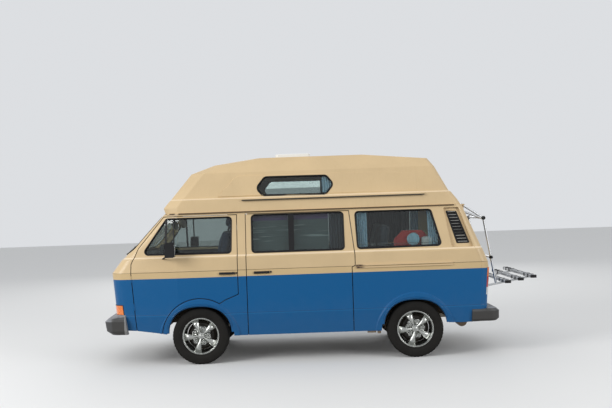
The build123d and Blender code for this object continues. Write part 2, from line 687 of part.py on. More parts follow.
steering_plane = Plane(origin=steering_centre, z_dir=column_axis)
steering_wheel = steering_plane * Torus(steering_radius, 13)
steering_wheel += steering_plane * (Pos(0, 0, -4) * Cylinder(46, 40))
steering_wheel += steering_plane * Box(2 * steering_radius, 44, 12)

# Front seats on the platform
seat_front = 840


def rounded_block(x0, x1, y0, y1, z0, z1, radius):
    return fillet(block(x0, x1, y0, y1, z0, z1).edges(), radius)


def seat(centre_y):
    cushion = rounded_block(seat_front, seat_front + 520, centre_y - 250, centre_y + 250, platform_z + 60,
                            platform_z + 190, 40)
    base = block(seat_front + 60, seat_front + 480, centre_y - 200, centre_y + 200, platform_z, platform_z + 80)
    back = rounded_block(-60, 60, centre_y - 240, centre_y + 240, -40, 590, 40)
    head = rounded_block(-40, 45, centre_y - 130, centre_y + 130, 630, 800, 34)
    posts = rod((0, centre_y - 60, 560), (0, centre_y - 60, 650), 8) + \
        rod((0, centre_y + 60, 560), (0, centre_y + 60, 650), 8)
    upper = Pos(seat_front + 490, 0, platform_z + 140) * (Rot(0, 12, 0) * (back + head + posts))
    return cushion + base + upper


seats_left = seat(-driver_y)
front_seats = seats_left + mirrored(seats_left)

# Living space: bench with its cushions, and the kitchen cabinet on the right
bench_front = 2640
bench_rear = rear_well_front
bench_base = block(bench_front, bench_rear - fit, -640, 500, floor_z, 800)
bench_cushions = rounded_block(bench_front - 20, bench_rear - 40, -650, 510, 800 + fit, 930, 36)
bench_back = Pos(bench_rear + 30, 0, deck_z + 5) * (Rot(0, 10, 0) * rounded_block(-60, 60, -650, 510, 0, 470, 36))
bench_cushions += bench_back
deck_pad = rounded_block(bench_rear + 190, 4330, -690, 690, deck_z + fit, deck_z + 100, 30)
deck_pad = deck_pad & skin(body_levels, wall + 12)
kitchen_unit = block(1760, 2560, 420, reach, floor_z, 1190) & inside

# Curtains drawn back beside the windows
cloth = skin(body_levels, wall + fit) - skin(body_levels, wall + 12)
curtains = None
for low, high in ((2962, 3090), (3790, 3900)):
    panel = cloth & both_sides([(low, 1252), (low, 1698), (high, 1698), (high, 1252)])
    curtains = panel if curtains is None else curtains + panel

# Wipers parked on the windscreen
def screen_point(y, z, out):
    low = body_levels[-2]
    high = body_levels[-1]
    share = (z - low[0]) / (high[0] - low[0])
    x = low[1] + (high[1] - low[1]) * share + low[5] * (y / low[4]) ** 2
    return (x - out * 0.72, y, z + out * 0.69)


wipers = None
for y in (-520, 120):
    pivot = rod(screen_point(y, 1262, -2 + 3), screen_point(y, 1262, 24), 11)
    arm = rod(screen_point(y, 1262, 18), screen_point(y + 230, 1380, 16), 5)
    blade = rod(screen_point(y + 20, 1345, 11), screen_point(y + 430, 1400, 11), 5)
    wiper = (pivot + arm + blade) - skin(body_levels, -fit)
    wipers = wiper if wipers is None else wipers + wiper

# Towing eye behind the front bumper: a flat lug with an upright bore, hung from the nose floor
tow_x = 245
tow_y = -400
tow_z = 385
tow_bore = 14
tow_plate = 12
tow_half = 30
tow_eye = Pos(tow_x, tow_y, tow_z) * Cylinder(tow_half, tow_plate)
tow_eye += block(tow_x, tow_x + 70, tow_y - tow_half, tow_y + tow_half, tow_z - tow_plate / 2, tow_z + tow_plate / 2)
tow_eye += block(tow_x + 70 - tow_plate, tow_x + 70, tow_y - tow_half, tow_y + tow_half, tow_z - tow_plate / 2,
                 cab_floor_z - floor_thickness - fit)
tow_eye -= Pos(tow_x, tow_y, tow_z) * Cylinder(tow_bore, 2 * tow_plate)

nodes = {
    "floor_pan": floor_pan,
    "rear_deck": rear_deck,
    "side_left": side_left,
    "side_right": side_right,
    "front_panel": front_panel,
    "rear_panel": rear_panel,
    "high_roof": high_roof,
    "sliding_door": sliding_door,
    "slide_rail": slide_rail,
    "windscreen": windscreen,
    "side_windows": side_windows,
    "window_bars": window_bars,
    "front_bumper": front_bumper,
    "rear_bumper": rear_bumper,
    "upper_grille": upper_grille,
    "lower_grille": lower_grille,
    "head_lamps": lamps,
    "indicators": indicators,
    "rear_lamps": rear_lamps,
    "air_vents": air_vents,
    "awning_rail": awning_rail,
    "wipers": wipers,
    "front_axle": front_axle,
    "rear_axle": rear_axle,
    "engine": engine,
    "exhaust": exhaust,
    "dashboard": dashboard,
    "front_seats": front_seats,
    "bench_base": bench_base,
    "bench_cushions": bench_cushions + deck_pad,
    "tow_eye": tow_eye,
    "kitchen_unit": kitchen_unit,
    "curtains": curtains,
    "steering_wheel": steering_wheel,
    "front_door_left": door_left,
    "front_door_right": mirrored(door_left),
    "door_glass_left": door_glass_left,
    "door_glass_right": mirrored(door_glass_left),
    "door_bars_left": door_bars_left,
    "door_bars_right": mirrored(door_bars_left),
    "mirror_left": mirror_left,
    "mirror_right": mirrored(mirror_left),
    "tailgate": tailgate,
    "tailgate_glass": tailgate_glass,
    "bike_rack": bike_rack,
    "vent_lid": vent_lid,
    "knuckle_left": knuckle_left,
    "knuckle_right": mirrored(knuckle_left),
}
for place, axle_x, side in wheel_places:
    nodes[f"tyre_{place}"] = place_wheel(tyre, axle_x, side)
    nodes[f"wheel_{place}"] = place_wheel(rim, axle_x, side)

for name, solid in nodes.items():
    save(solid, name)
print("middle", middle_x, "hinge", hinge_low, hinge_axis, "column", steering_centre, column_axis)
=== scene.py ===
import math

import bmesh
import bpy
from mathutils import Matrix, Vector
from mathutils.bvhtree import BVHTree


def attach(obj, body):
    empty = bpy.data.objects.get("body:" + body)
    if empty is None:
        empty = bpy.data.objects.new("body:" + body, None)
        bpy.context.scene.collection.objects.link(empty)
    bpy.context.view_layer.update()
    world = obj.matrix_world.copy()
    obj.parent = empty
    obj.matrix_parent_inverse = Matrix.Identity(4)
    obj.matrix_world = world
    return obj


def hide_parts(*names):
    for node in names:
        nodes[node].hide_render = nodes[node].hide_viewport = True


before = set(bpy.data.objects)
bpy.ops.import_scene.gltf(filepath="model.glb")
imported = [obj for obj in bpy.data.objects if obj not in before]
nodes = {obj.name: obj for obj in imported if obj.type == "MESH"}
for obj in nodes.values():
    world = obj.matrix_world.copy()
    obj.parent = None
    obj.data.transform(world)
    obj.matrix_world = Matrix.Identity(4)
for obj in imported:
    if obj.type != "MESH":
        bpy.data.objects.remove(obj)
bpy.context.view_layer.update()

print("frame loaded")

# Lengths are metres in the frame's axes: the van's front is towards -x, its right side towards +y.
# A station is a distance behind the front bumper's face, the way such a van is measured.
van = {
    "halfLength": 2.545,
    "paintLine": 0.997,   # top of the blue
    "ledge": 1.240,
    "hub": 0.322,
    "frontAxle": 1.140,
    "rearAxle": 3.600,
    "wheelSide": 0.785,
    "sideReach": 2.0,     # where rays towards the sides start
}
sides = ((-1, "Left"), (1, "Right"))


def station(s):
    return s - van["halfLength"]


# Points given as station, sideways place and height
def placed(points):
    return [(station(s), y, z) for s, y, z in points]


def shiftTo(s, y, z):
    return Matrix.Translation((station(s), y, z))


# Meshes are gathered as parts, each a pair of point and face lists
def gridPart(rows, wrapRows=False, wrapColumns=False, capEnds=False):
    count, width = len(rows), len(rows[0])
    points = [Vector(p) for row in rows for p in row]
    faces = []
    for i in range(count if wrapRows else count - 1):
        for j in range(width if wrapColumns else width - 1):
            a, b = i * width, (i + 1) % count * width
            k = (j + 1) % width
            faces.append((a + j, a + k, b + k, b + j))
    if capEnds:
        faces.append(tuple(range(width))[::-1])
        faces.append(tuple((count - 1) * width + j for j in range(width)))
    return points, faces


def joinParts(parts):
    points, faces = [], []
    for partPoints, partFaces in parts:
        start = len(points)
        points += partPoints
        faces += [tuple(start + i for i in face) for face in partFaces]
    return points, faces


def movePart(part, matrix):
    points, faces = part
    moved = [matrix @ Vector(p) for p in points]
    if matrix.to_3x3().determinant() < 0:
        faces = [tuple(reversed(face)) for face in faces]
    return moved, faces


mirrorSide = Matrix.Scale(-1, 4, Vector((0, 1, 0)))


# A part drawn for the left side, mirrored where the right one is asked for
def sidePart(part, side):
    return movePart(part, mirrorSide) if side > 0 else part


def turned(axis, degrees):
    return Matrix.Rotation(math.radians(degrees), 4, axis)


def boxPart(low, high, radius=0.0, segments=2):
    low, high = Vector(low), Vector(high)
    mesh = bmesh.new()
    bmesh.ops.create_cube(mesh, size=1.0)
    for v in mesh.verts:
        v.co = Vector((low[i] + (high[i] - low[i]) * (v.co[i] + 0.5) for i in range(3)))
    if radius > 0:
        radius = min(radius, 0.49 * min(high - low))
        bmesh.ops.bevel(mesh, geom=mesh.edges[:], offset=radius, segments=segments, profile=0.5, affect="EDGES")
    mesh.verts.index_update()
    part = [v.co.copy() for v in mesh.verts], [tuple(v.index for v in f.verts) for f in mesh.faces]
    mesh.free()
    return part


# Box from its low and high corners, given with stations
def stationBox(low, high, radius=0.0, segments=2):
    return boxPart(*placed((low, high)), radius, segments)


def circle(radius, count):
    angles = [2 * math.pi * k / count for k in range(count)]
    return [(radius * math.cos(a), radius * math.sin(a)) for a in angles]


# Solid of revolution about the y axis, from pairs of radius and place along y
def lathePart(profile, steps, closed=False):
    rows = [[(r * across, y, r * upward) for r, y in profile] for across, upward in circle(1, steps)]
    return gridPart(rows, wrapRows=True, wrapColumns=closed)


# Round bar along a line of points
def tubePart(points, radius, around=10, closed=False):
    points = [Vector(p) for p in points]
    count = len(points)
    rows = []
    across = None
    for i, p in enumerate(points):
        before = points[i - 1] if i > 0 or closed else points[0]
        after = points[(i + 1) % count] if i < count - 1 or closed else points[-1]
        along = (after - before).normalized()
        if across is None:
            across = along.orthogonal().normalized()
        across = (across - along * across.dot(along)).normalized()
        other = along.cross(across)
        rows.append([p + across * u + other * v for u, v in circle(radius, around)])
    return gridPart(rows, wrapRows=closed, wrapColumns=True, capEnds=not closed)


# Points along straight runs with their corners rounded
def softPath(points, radius, steps=6):
    points = [Vector(p) for p in points]
    path = [points[0]]
    for before, corner, after in zip(points, points[1:], points[2:]):
        a, b = (before - corner), (after - corner)
        cut = min(radius, 0.45 * a.length, 0.45 * b.length)
        start, end = corner + a.normalized() * cut, corner + b.normalized() * cut
        for k in range(steps + 1):
            t = k / steps
            path.append(start * (1 - t) ** 2 + corner * 2 * t * (1 - t) + end * t ** 2)
    path.append(points[-1])
    return path


# Closed outline in a plane with rounded corners, as pairs of point and outward normal
def roundOutline(points, radius, spacing=0.03, steps=8):
    points = [Vector(p) for p in points]
    area = sum(a.x * b.y - a.y * b.x for a, b in zip(points, points[1:] + points[:1]))
    if area < 0:
        points.reverse()
    count = len(points)
    raw = []
    for i, corner in enumerate(points):
        a = (points[i - 1] - corner).normalized()
        b = (points[(i + 1) % count] - corner).normalized()
        half = math.acos(max(-1.0, min(1.0, a.dot(b)))) / 2
        cut = min(radius / math.tan(half), 0.49 * (points[i - 1] - corner).length,
                  0.49 * (points[(i + 1) % count] - corner).length)
        size = cut * math.tan(half)
        centre = corner + (a + b).normalized() * (size / math.sin(half))
        start, end = corner + a * cut - centre, corner + b * cut - centre
        sweep = start.angle_signed(end) * -1
        for k in range(steps + 1):
            angle = sweep * k / steps
            turn = Vector((start.x * math.cos(angle) - start.y * math.sin(angle),
                           start.x * math.sin(angle) + start.y * math.cos(angle)))
            raw.append((centre + turn, turn.normalized()))
    outline = []
    for (p, n), (q, m) in zip(raw, raw[1:] + raw[:1]):
        outline.append((p, n))
        pieces = int((q - p).length / spacing)
        side = Vector(((q - p).y, -(q - p).x)).normalized()
        for k in range(1, pieces):
            outline.append((p.lerp(q, k / pieces), side))
    return outline


def meshObject(name, part):
    mesh = bpy.data.meshes.new(name)
    mesh.from_pydata([tuple(p) for p in part[0]], [], part[1])
    shape = bpy.data.objects.new(name, mesh)
    bpy.context.scene.collection.objects.link(shape)
    return shape


def newPiece(name, part, look, replaces=(), body="van"):
    piece = meshObject(name, part)
    piece.data.validate()
    piece.data.shade_smooth()
    piece.data.set_sharp_from_angle(angle=math.radians(38))
    piece.data.materials.append(looks[look])
    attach(piece, body)
    if replaces:
        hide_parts(*replaces)
    return piece


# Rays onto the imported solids, so that trim follows the real surface
def solidTree(names):
    points, faces = [], []
    for name in names:
        mesh = nodes[name].data
        start = len(points)
        points += [v.co.copy() for v in mesh.vertices]
        faces += [tuple(start + i for i in p.vertices) for p in mesh.polygons]
    return BVHTree.FromPolygons(points, faces)


sideNodes = {
    -1: ["side_left", "front_door_left", "sliding_door", "front_panel", "rear_panel", "high_roof", "side_windows",
         "door_glass_left"],
    1: ["side_right", "front_door_right", "front_panel", "rear_panel", "high_roof", "side_windows",
        "door_glass_right"],
}
trees = {side: solidTree(names) for side, names in sideNodes.items()}
trees["front"] = solidTree(["front_panel", "windscreen"])
trees["tail"] = solidTree(["rear_panel", "tailgate", "tailgate_glass"])


# First surface met from one side of the van, at a station and height
def onSide(side, s, z, out=0.0):
    start = Vector((station(s), side * van["sideReach"], z))
    place, normal, _, _ = trees[side].ray_cast(start, Vector((0, -side, 0)))
    return place + normal * out, normal


# First surface met from ahead or behind, at a sideways place and height
def onEnd(end, y, z):
    ahead = end == "front"
    start = Vector((-4.0 if ahead else 4.0, y, z))
    return trees[end].ray_cast(start, Vector((1 if ahead else -1, 0, 0)))[:2]


print("helpers ready")


# Node graph under construction
class Graph:
    def __init__(self, tree):
        self.tree = tree

    def feed(self, socket, value):
        if isinstance(value, bpy.types.NodeSocket):
            self.tree.links.new(value, socket)
        elif socket.type == "RGBA" and len(value) == 3:
            socket.default_value = (*value, 1.0)
        else:
            socket.default_value = value

    def add(self, kind, inputs=None, **settings):
        node = self.tree.nodes.new("ShaderNode" + kind)
        for name, value in settings.items():
            setattr(node, name, value)
        for name, value in (inputs or {}).items():
            self.feed(node.inputs[name], value)
        return node

    def maths(self, operation, *values):
        node = self.add("Math", operation=operation)
        for socket, value in zip(node.inputs, values):
            self.feed(socket, value)
        return node.outputs[0]

    def mix(self, share, first, second, blend="MIX"):
        node = self.add("Mix", data_type="RGBA", blend_type=blend)
        for index, value in ((0, share), (6, first), (7, second)):
            self.feed(node.inputs[index], value)
        return node.outputs[2]

    # Smooth rise from 0 to 1 as a value goes from low to high
    def rise(self, value, low, high):
        ends = {"Value": value, "From Min": low, "From Max": high}
        return self.add("MapRange", ends, interpolation_type="SMOOTHSTEP").outputs[0]

    def place(self):
        return self.add("TexCoord").outputs["Object"]

    def axis(self, name, vector=None):
        return self.add("SeparateXYZ", {0: vector or self.place()}).outputs[name]

    def noise(self, scale, detail=2.0, stretch=None):
        vector = self.place()
        if stretch:
            vector = self.add("VectorMath", {0: vector, 1: stretch}, operation="MULTIPLY").outputs[0]
        return self.add("TexNoise", {"Vector": vector, "Scale": scale, "Detail": detail}).outputs[0]

    def bump(self, height, strength, distance, normal=None):
        inputs = {"Height": height, "Strength": strength, "Distance": distance}
        if normal:
            inputs["Normal"] = normal
        return self.add("Bump", inputs).outputs["Normal"]

    def use(self, group, inputs):
        node = self.add("Group", node_tree=group)
        for name, value in inputs.items():
            self.feed(node.inputs[name], value)
        return node.outputs

    def dusted(self, tone, top, amount):
        return self.mix(self.use(lowDust, {"Top": top, "Amount": amount})["Mask"], tone, tones["dust"])

    # Inputs of the finish's own shader, and the radius and grain of its softened edges
    def finish(self, inputs, edge=None):
        if edge:
            inputs["Normal"] = self.use(softEdge, dict(zip(("Radius", "Grain", "Grain Scale"), edge)))["Normal"]
        for name, value in inputs.items():
            self.feed(self.shader.inputs[name], value)


# Shared effect with named sockets, built by a function that returns its outputs
def newGroup(name, inputs, outputs, build):
    tree = bpy.data.node_groups.new(name, "ShaderNodeTree")
    for label, value in inputs.items():
        socket = tree.interface.new_socket(label, in_out="INPUT", socket_type="NodeSocketFloat")
        socket.default_value = value
    for label, kind in outputs.items():
        tree.interface.new_socket(label, in_out="OUTPUT", socket_type="NodeSocket" + kind)
    graph = Graph(tree)
    start = tree.nodes.new("NodeGroupInput").outputs
    end = tree.nodes.new("NodeGroupOutput").inputs
    for label, value in build(graph, start).items():
        graph.feed(end[label], value)
    return tree


def buildSoftEdge(graph, given):
    rounded = graph.add("Bevel", {"Radius": given["Radius"]}, samples=6).outputs[0]
    grain = graph.add("TexNoise", {"Vector": graph.place(), "Scale": given["Grain Scale"], "Detail": 3.0}).outputs[0]
    return {"Normal": graph.bump(grain, given["Grain"], 0.002, rounded)}


def buildWornEdge(graph, given):
    rounded = graph.add("Bevel", {"Radius": given["Radius"]}, samples=6).outputs[0]
    flat = graph.add("NewGeometry").outputs["Normal"]
    alike = graph.add("VectorMath", {0: rounded, 1: flat}, operation="DOT_PRODUCT").outputs["Value"]
    edge = graph.maths("SUBTRACT", 1.0, alike)
    chipped = graph.maths("MULTIPLY", edge, graph.noise(60.0, 4.0))
    return {"Mask": graph.maths("MULTIPLY", graph.rise(chipped, 0.06, 0.10), given["Amount"])}


def buildLowDust(graph, given):
    cloud = graph.maths("MULTIPLY", graph.noise(9.0, 5.0), 0.35)
    height = graph.maths("SUBTRACT", graph.axis("Z"), cloud)
    low = graph.maths("SUBTRACT", given["Top"], 0.45)
    return {"Mask": graph.maths("MULTIPLY", graph.rise(height, given["Top"], low), given["Amount"])}


def buildStreaks(graph, given):
    lines = graph.noise(1.0, 3.0, (46.0, 46.0, 1.6))
    return {"Mask": graph.maths("MULTIPLY", graph.rise(lines, 0.50, 0.78), given["Amount"])}


def buildWeave(graph, given):
    place = graph.add("VectorMath", {0: graph.place(), 3: given["Scale"]}, operation="SCALE").outputs[0]
    waves = [graph.maths("SINE", graph.axis(name, place)) for name in "XYZ"]
    threads = graph.maths("MULTIPLY", graph.maths("ADD", waves[0], waves[1]), waves[2])
    lumps = graph.noise(35.0, 3.0)
    height = graph.maths("ADD", graph.maths("MULTIPLY", threads, 0.2), lumps)
    return {"Normal": graph.bump(height, given["Depth"], 0.003), "Shade": lumps}


softEdge = newGroup("softEdge", {"Radius": 0.003, "Grain": 0.05, "Grain Scale": 300.0}, {"Normal": "Vector"},
                    buildSoftEdge)
wornEdge = newGroup("wornEdge", {"Radius": 0.004, "Amount": 1.0}, {"Mask": "Float"}, buildWornEdge)
lowDust = newGroup("lowDust", {"Top": 0.6, "Amount": 0.4}, {"Mask": "Float"}, buildLowDust)
streaks = newGroup("streaks", {"Amount": 0.3}, {"Mask": "Float"}, buildStreaks)
weave = newGroup("weave", {"Scale": 1800.0, "Depth": 0.4}, {"Normal": "Vector", "Shade": "Float"}, buildWeave)

looks = {}
tones = {
    "cream": (0.640, 0.478, 0.275),
    "blue": (0.001, 0.094, 0.262),
    "dust": (0.30, 0.25, 0.18),
    "rust": (0.16, 0.055, 0.02),
    "darkTrim": (0.035, 0.035, 0.038),
}


def newLook(name):
    material = bpy.data.materials.new(name)
    material.use_nodes = True
    material.node_tree.nodes.clear()
    graph = Graph(material.node_tree)
    graph.shader = graph.add("BsdfPrincipled")
    graph.out = graph.add("OutputMaterial")
    graph.feed(graph.out.inputs["Surface"], graph.shader.outputs[0])
    looks[name] = material
    return graph


# Plain finishes. Columns: colour, roughness, metallic, edge radius, grain depth, grain scale, dust
plainFinishes = {
    "rubber": ((0.010, 0.010, 0.011), 0.55, 0.0, 0.001, 0.10, 200, 0.05),
    "blackPlastic": ((0.013, 0.013, 0.014), 0.48, 0.0, 0.002, 0.15, 420, 0.04),
    "tyreRubber": ((0.007, 0.007, 0.007), 0.85, 0.0, 0.002, 0.12, 260, 0.02),
    # Black that stands for shade, behind the wheel spokes and the door gaps
    "shadeBlack": ((0.006, 0.006, 0.006), 0.90, 0.0, 0.001, 0.05, 200, 0.10),
    "darkSteel": ((0.030, 0.028, 0.026), 0.60, 0.4, 0.001, 0.12, 300, 0.06),
    "polishedAlloy": ((0.44, 0.45, 0.43), 0.26, 1.0, 0.002, 0.04, 180, 0.02),
    "chrome": ((0.80, 0.80, 0.80), 0.07, 1.0, 0.001, 0.01, 100, 0.02),
    "rackAlloy": ((0.56, 0.57, 0.58), 0.30, 1.0, 0.001, 0.06, 400, 0.04),
    "engineAlloy": ((0.28, 0.27, 0.26), 0.52, 0.8, 0.004, 0.30, 120, 0.45),
    "exhaustSteel": ((0.20, 0.14, 0.10), 0.68, 0.7, 0.002, 0.40, 90, 0.35),
    "ventPlastic": ((0.74, 0.74, 0.71), 0.34, 0.0, 0.004, 0.06, 250, 0.0),
    "cabPlastic": ((0.022, 0.022, 0.025), 0.58, 0.0, 0.004, 0.35, 500, 0.0),
    "worktop": ((0.46, 0.44, 0.40), 0.36, 0.0, 0.002, 0.10, 300, 0.0),
    # Sealant colour, also standing for painted shadow under the roof's edge
    "sealant": ((0.070, 0.042, 0.018), 0.70, 0.0, 0.001, 0.30, 150, 0.0),
    "strapWeb": ((0.05, 0.05, 0.055), 0.80, 0.0, 0.001, 0.30, 900, 0.0),
    "mirrorFace": ((0.86, 0.88, 0.88), 0.03, 1.0, 0.001, 0.0, 100, 0.0),
    # Painted highlight on the louvres' edges
    "slatHighlight": ((0.34, 0.34, 0.32), 0.45, 0.0, 0.001, 0.05, 300, 0.05),
    "panelGap": ((0.010, 0.010, 0.012), 0.80, 0.0, 0.001, 0.05, 200, 0.0),
    "dialFace": ((0.020, 0.020, 0.020), 0.30, 0.0, 0.001, 0.02, 200, 0.0),
    "dialMark": ((0.75, 0.75, 0.72), 0.40, 0.0, 0.001, 0.02, 200, 0.0),
}
for name, (tone, rough, metal, *edge, dust) in plainFinishes.items():
    graph = newLook(name)
    inputs = {"Base Color": graph.dusted(tone, 0.75, dust), "Metallic": metal,
              "Roughness": graph.maths("MULTIPLY_ADD", graph.noise(14.0, 3.0), 0.24, rough - 0.12)}
    if metal == 0 and max(tone) < 0.05:
        inputs["Specular IOR Level"] = 0.2
    graph.finish(inputs, edge)


# Where a face looks inwards, as seen from a line along the middle of the van
def inwardMask(graph):
    along = graph.add("Clamp", {"Value": graph.axis("X"), "Min": -1.5, "Max": 1.2}).outputs[0]
    level = graph.add("Clamp", {"Value": graph.axis("Z"), "Min": 0.8, "Max": 1.9}).outputs[0]
    middle = graph.add("CombineXYZ", {"X": along, "Z": level}).outputs[0]
    away = graph.add("VectorMath", {0: graph.place(), 1: middle}, operation="SUBTRACT").outputs[0]
    facing = graph.add("TexCoord").outputs["Normal"]
    outward = graph.add("VectorMath", {0: away, 1: facing}, operation="DOT_PRODUCT").outputs["Value"]
    return graph.rise(outward, 0.02, -0.02)


# Bands of painted light along the skin's pressed lines: painted highlight under the low crease and on the waist
# ledge, painted shade in the crease, in the belt groove and in the darker, yellower recessed band below it. Columns:
# low, high, share, colour
paintedCreaseLight = [
    (0.5650, 0.5750, 0.25, (0.010, 0.210, 0.480)),
    (0.5765, 0.5830, 0.60, (0.000, 0.030, 0.095)),
    (van["paintLine"] + 0.002, 1.0640, 0.35, (0.560, 0.400, 0.180)),
    (1.0655, 1.0705, 0.75, (0.190, 0.140, 0.070)),
    (1.2260, 1.2420, 0.55, (0.950, 0.800, 0.600)),
]
# Painted highlight along the roof's ledge
paintedRoofLedgeLight = [(1.8840, 1.8990, 0.45, (0.950, 0.800, 0.600))]


def paintLook(name, lines, blueBelow, grime, chipped, rough):
    graph = newLook(name)
    height, cream = graph.axis("Z"), tones["cream"]
    tone = graph.mix(graph.rise(graph.noise(3.0, 4.0), 0.3, 0.7), cream, [c * 0.94 for c in cream])
    if blueBelow:
        tone = graph.mix(graph.rise(height, blueBelow + 0.0006, blueBelow - 0.0006), tone, tones["blue"])
    # Bands of painted highlight and painted shade at set heights
    for low, high, share, shade in lines:
        inside = graph.maths("MULTIPLY", graph.rise(height, low - 0.0015, low + 0.0015),
                             graph.rise(height, high + 0.0015, high - 0.0015))
        tone = graph.mix(graph.maths("MULTIPLY", inside, share), tone, shade)
    tone = graph.mix(graph.use(streaks, {"Amount": grime})["Mask"], tone, [0.75, 0.70, 0.60], "MULTIPLY")
    dusty = graph.use(lowDust, {"Top": 0.62, "Amount": 0.04})["Mask"]
    chips = graph.use(wornEdge, {"Radius": 0.003, "Amount": chipped})["Mask"]
    tone = graph.mix(chips, graph.mix(dusty, tone, tones["dust"]), tones["rust"])
    inward = inwardMask(graph)
    # Inside faces: the cream darkened to 0.8 above the ledge as painted shade, dark trim below it
    liningWithShade = graph.mix(graph.rise(height, van["ledge"] + 0.004, van["ledge"] - 0.004),
                       [c * 0.8 for c in cream], tones["darkTrim"])
    matte = graph.maths("MAXIMUM", inward, graph.maths("MAXIMUM", dusty, chips))
    graph.finish({"Base Color": graph.mix(inward, tone, liningWithShade), "Specular IOR Level": 0.25, "Coat Roughness": 0.08,
                  "Roughness": graph.maths("MULTIPLY_ADD", matte, 0.8 - rough, rough),
                  "Coat Weight": graph.maths("MULTIPLY_ADD", matte, -0.06, 0.06)}, (0.007, 0.018, 140.0))


paintLook("bodyPaint", paintedCreaseLight, van["paintLine"], 0.05, 0.45, 0.34)
paintLook("roofPaint", paintedRoofLedgeLight, None, 0.10, 0.0, 0.55)


# Glass that lets the lamps' light through
def glassLook(name, tint, rough, clear):
    graph = newLook(name)
    smears = graph.rise(graph.noise(7.0, 4.0), 0.45, 0.8)
    graph.finish({"Base Color": tint, "Metallic": 0.0, "Transmission Weight": 1.0, "IOR": 1.45,
                  "Roughness": graph.maths("MULTIPLY_ADD", smears, 0.03, rough)})
    shadow = graph.add("LightPath").outputs["Is Shadow Ray"]
    through = graph.add("BsdfTransparent", {"Color": clear}).outputs[0]
    both = graph.add("MixShader", {0: shadow, 1: graph.shader.outputs[0], 2: through}).outputs[0]
    graph.feed(graph.out.inputs["Surface"], both)


glassLook("paneGlass", (0.46, 0.52, 0.51), 0.004, (0.62, 0.66, 0.65))
glassLook("lampGlass", (0.94, 0.95, 0.96), 0.02, (0.9, 0.9, 0.9))

# Ribbed orange lens, lighter orange where the ribs rise and darker in the hollows: a painted highlight standing for
# a pale reflector behind
graph = newLook("orangeLens")
ribs = [graph.maths("SINE", graph.maths("MULTIPLY", graph.axis(name), 900.0)) for name in "ZY"]
lift = graph.maths("MULTIPLY", *ribs)
graph.finish({"Base Color": graph.mix(graph.rise(lift, -1.0, 1.0), (0.72, 0.13, 0.006), (0.95, 0.26, 0.02)),
              "Normal": graph.bump(lift, 0.25, 0.001), "Roughness": 0.22, "Coat Weight": 0.8,
              "Subsurface Weight": 0.2})

# Tail lamp in three bands: orange on top, red in the middle, clear at the foot
graph = newLook("tailLens")
height = graph.axis("Z")
ribs = graph.maths("SINE", graph.maths("MULTIPLY", height, 700.0))
tone = graph.mix(graph.rise(height, 0.895, 0.897), (0.42, 0.012, 0.008), (0.80, 0.18, 0.010))
tone = graph.mix(graph.rise(height, 0.776, 0.774), tone, (0.60, 0.60, 0.60))
graph.finish({"Base Color": tone, "Roughness": 0.2, "Coat Weight": 0.6, "Normal": graph.bump(ribs, 0.2, 0.001)})

# Awning rail: body cream, with a dark band along its foot as painted shadow under the rail
graph = newLook("awningPaint")
footShadow = graph.rise(graph.axis("Z"), 1.8685, 1.8695)
graph.finish({"Base Color": graph.mix(footShadow, (0.012, 0.010, 0.008), tones["cream"]), "Roughness": 0.45})

# Iron with rust and road dirt
for name, tone, amount in (("chassisIron", (0.030, 0.028, 0.026), 0.7), ("underbody", (0.022, 0.022, 0.023), 0.35)):
    graph = newLook(name)
    rusty = graph.maths("MULTIPLY", graph.rise(graph.noise(11.0, 6.0), 0.42, 0.66), amount)
    graph.finish({"Base Color": graph.dusted(graph.mix(rusty, tone, tones["rust"]), 0.8, 0.35), "Roughness": 0.78},
                 (0.004, 0.5, 70.0))

# Woven cloth. Columns: colour, second colour, thread scale, sheen
clothFinishes = {
    "seatCloth": ((0.014, 0.024, 0.060), (0.030, 0.046, 0.100), 2200, 0.25),
    "benchCloth": ((0.030, 0.036, 0.050), (0.060, 0.070, 0.090), 2200, 0.25),
    "curtainBlue": ((0.30, 0.46, 0.60), (0.44, 0.60, 0.72), 3200, 0.20),
    "curtainDark": ((0.020, 0.024, 0.036), (0.034, 0.040, 0.056), 3200, 0.15),
    "cushionRed": ((0.42, 0.018, 0.016), (0.55, 0.03, 0.025), 2600, 0.30),
    "cushionBlue": ((0.28, 0.50, 0.66), (0.40, 0.60, 0.74), 2600, 0.30),
    "blanketPale": ((0.50, 0.50, 0.52), (0.62, 0.60, 0.62), 2400, 0.30),
    "headlining": ((0.42, 0.36, 0.27), (0.48, 0.42, 0.32), 1500, 0.10),
}
for name, (tone, second, scale, sheen) in clothFinishes.items():
    graph = newLook(name)
    woven = graph.use(weave, {"Scale": scale, "Depth": 0.5})
    graph.finish({"Base Color": graph.mix(graph.rise(woven["Shade"], 0.35, 0.65), tone, second),
                  "Normal": woven["Normal"], "Roughness": 0.9, "Sheen Weight": sheen})

# Bumper plastic, paler on upward faces as painted highlight, with black end caps and a pale band at the rear ends of
# the front caps, also painted highlight
graph = newLook("bumperPlastic")
along = graph.axis("X")
cap = graph.maths("MULTIPLY", graph.rise(graph.maths("ABSOLUTE", graph.axis("Y")), 0.868, 0.872),
                  graph.rise(along, station(0.12), station(0.14)))
paintedRimHighlight = graph.maths("MULTIPLY", graph.rise(along, station(0.272), station(0.276)),
                      graph.rise(along, station(0.5), station(0.45)))
upward = graph.axis("Z", graph.add("TexCoord").outputs["Normal"])
# Painted highlight: paler where the face looks up, in patches
paintedTopHighlight = graph.maths("MULTIPLY", graph.rise(upward, 0.1, 0.7), graph.rise(graph.noise(8.0, 4.0), 0.2, 0.7))
tone = graph.mix(paintedTopHighlight, (0.032, 0.034, 0.038), (0.26, 0.27, 0.29))
tone = graph.mix(graph.maths("MULTIPLY", cap, 0.8), tone, (0.014, 0.014, 0.014))
tone = graph.dusted(graph.mix(paintedRimHighlight, tone, (0.20, 0.20, 0.20)), 0.7, 0.04)
graph.finish({"Base Color": tone, "Roughness": 0.5}, (0.006, 0.15, 350.0))

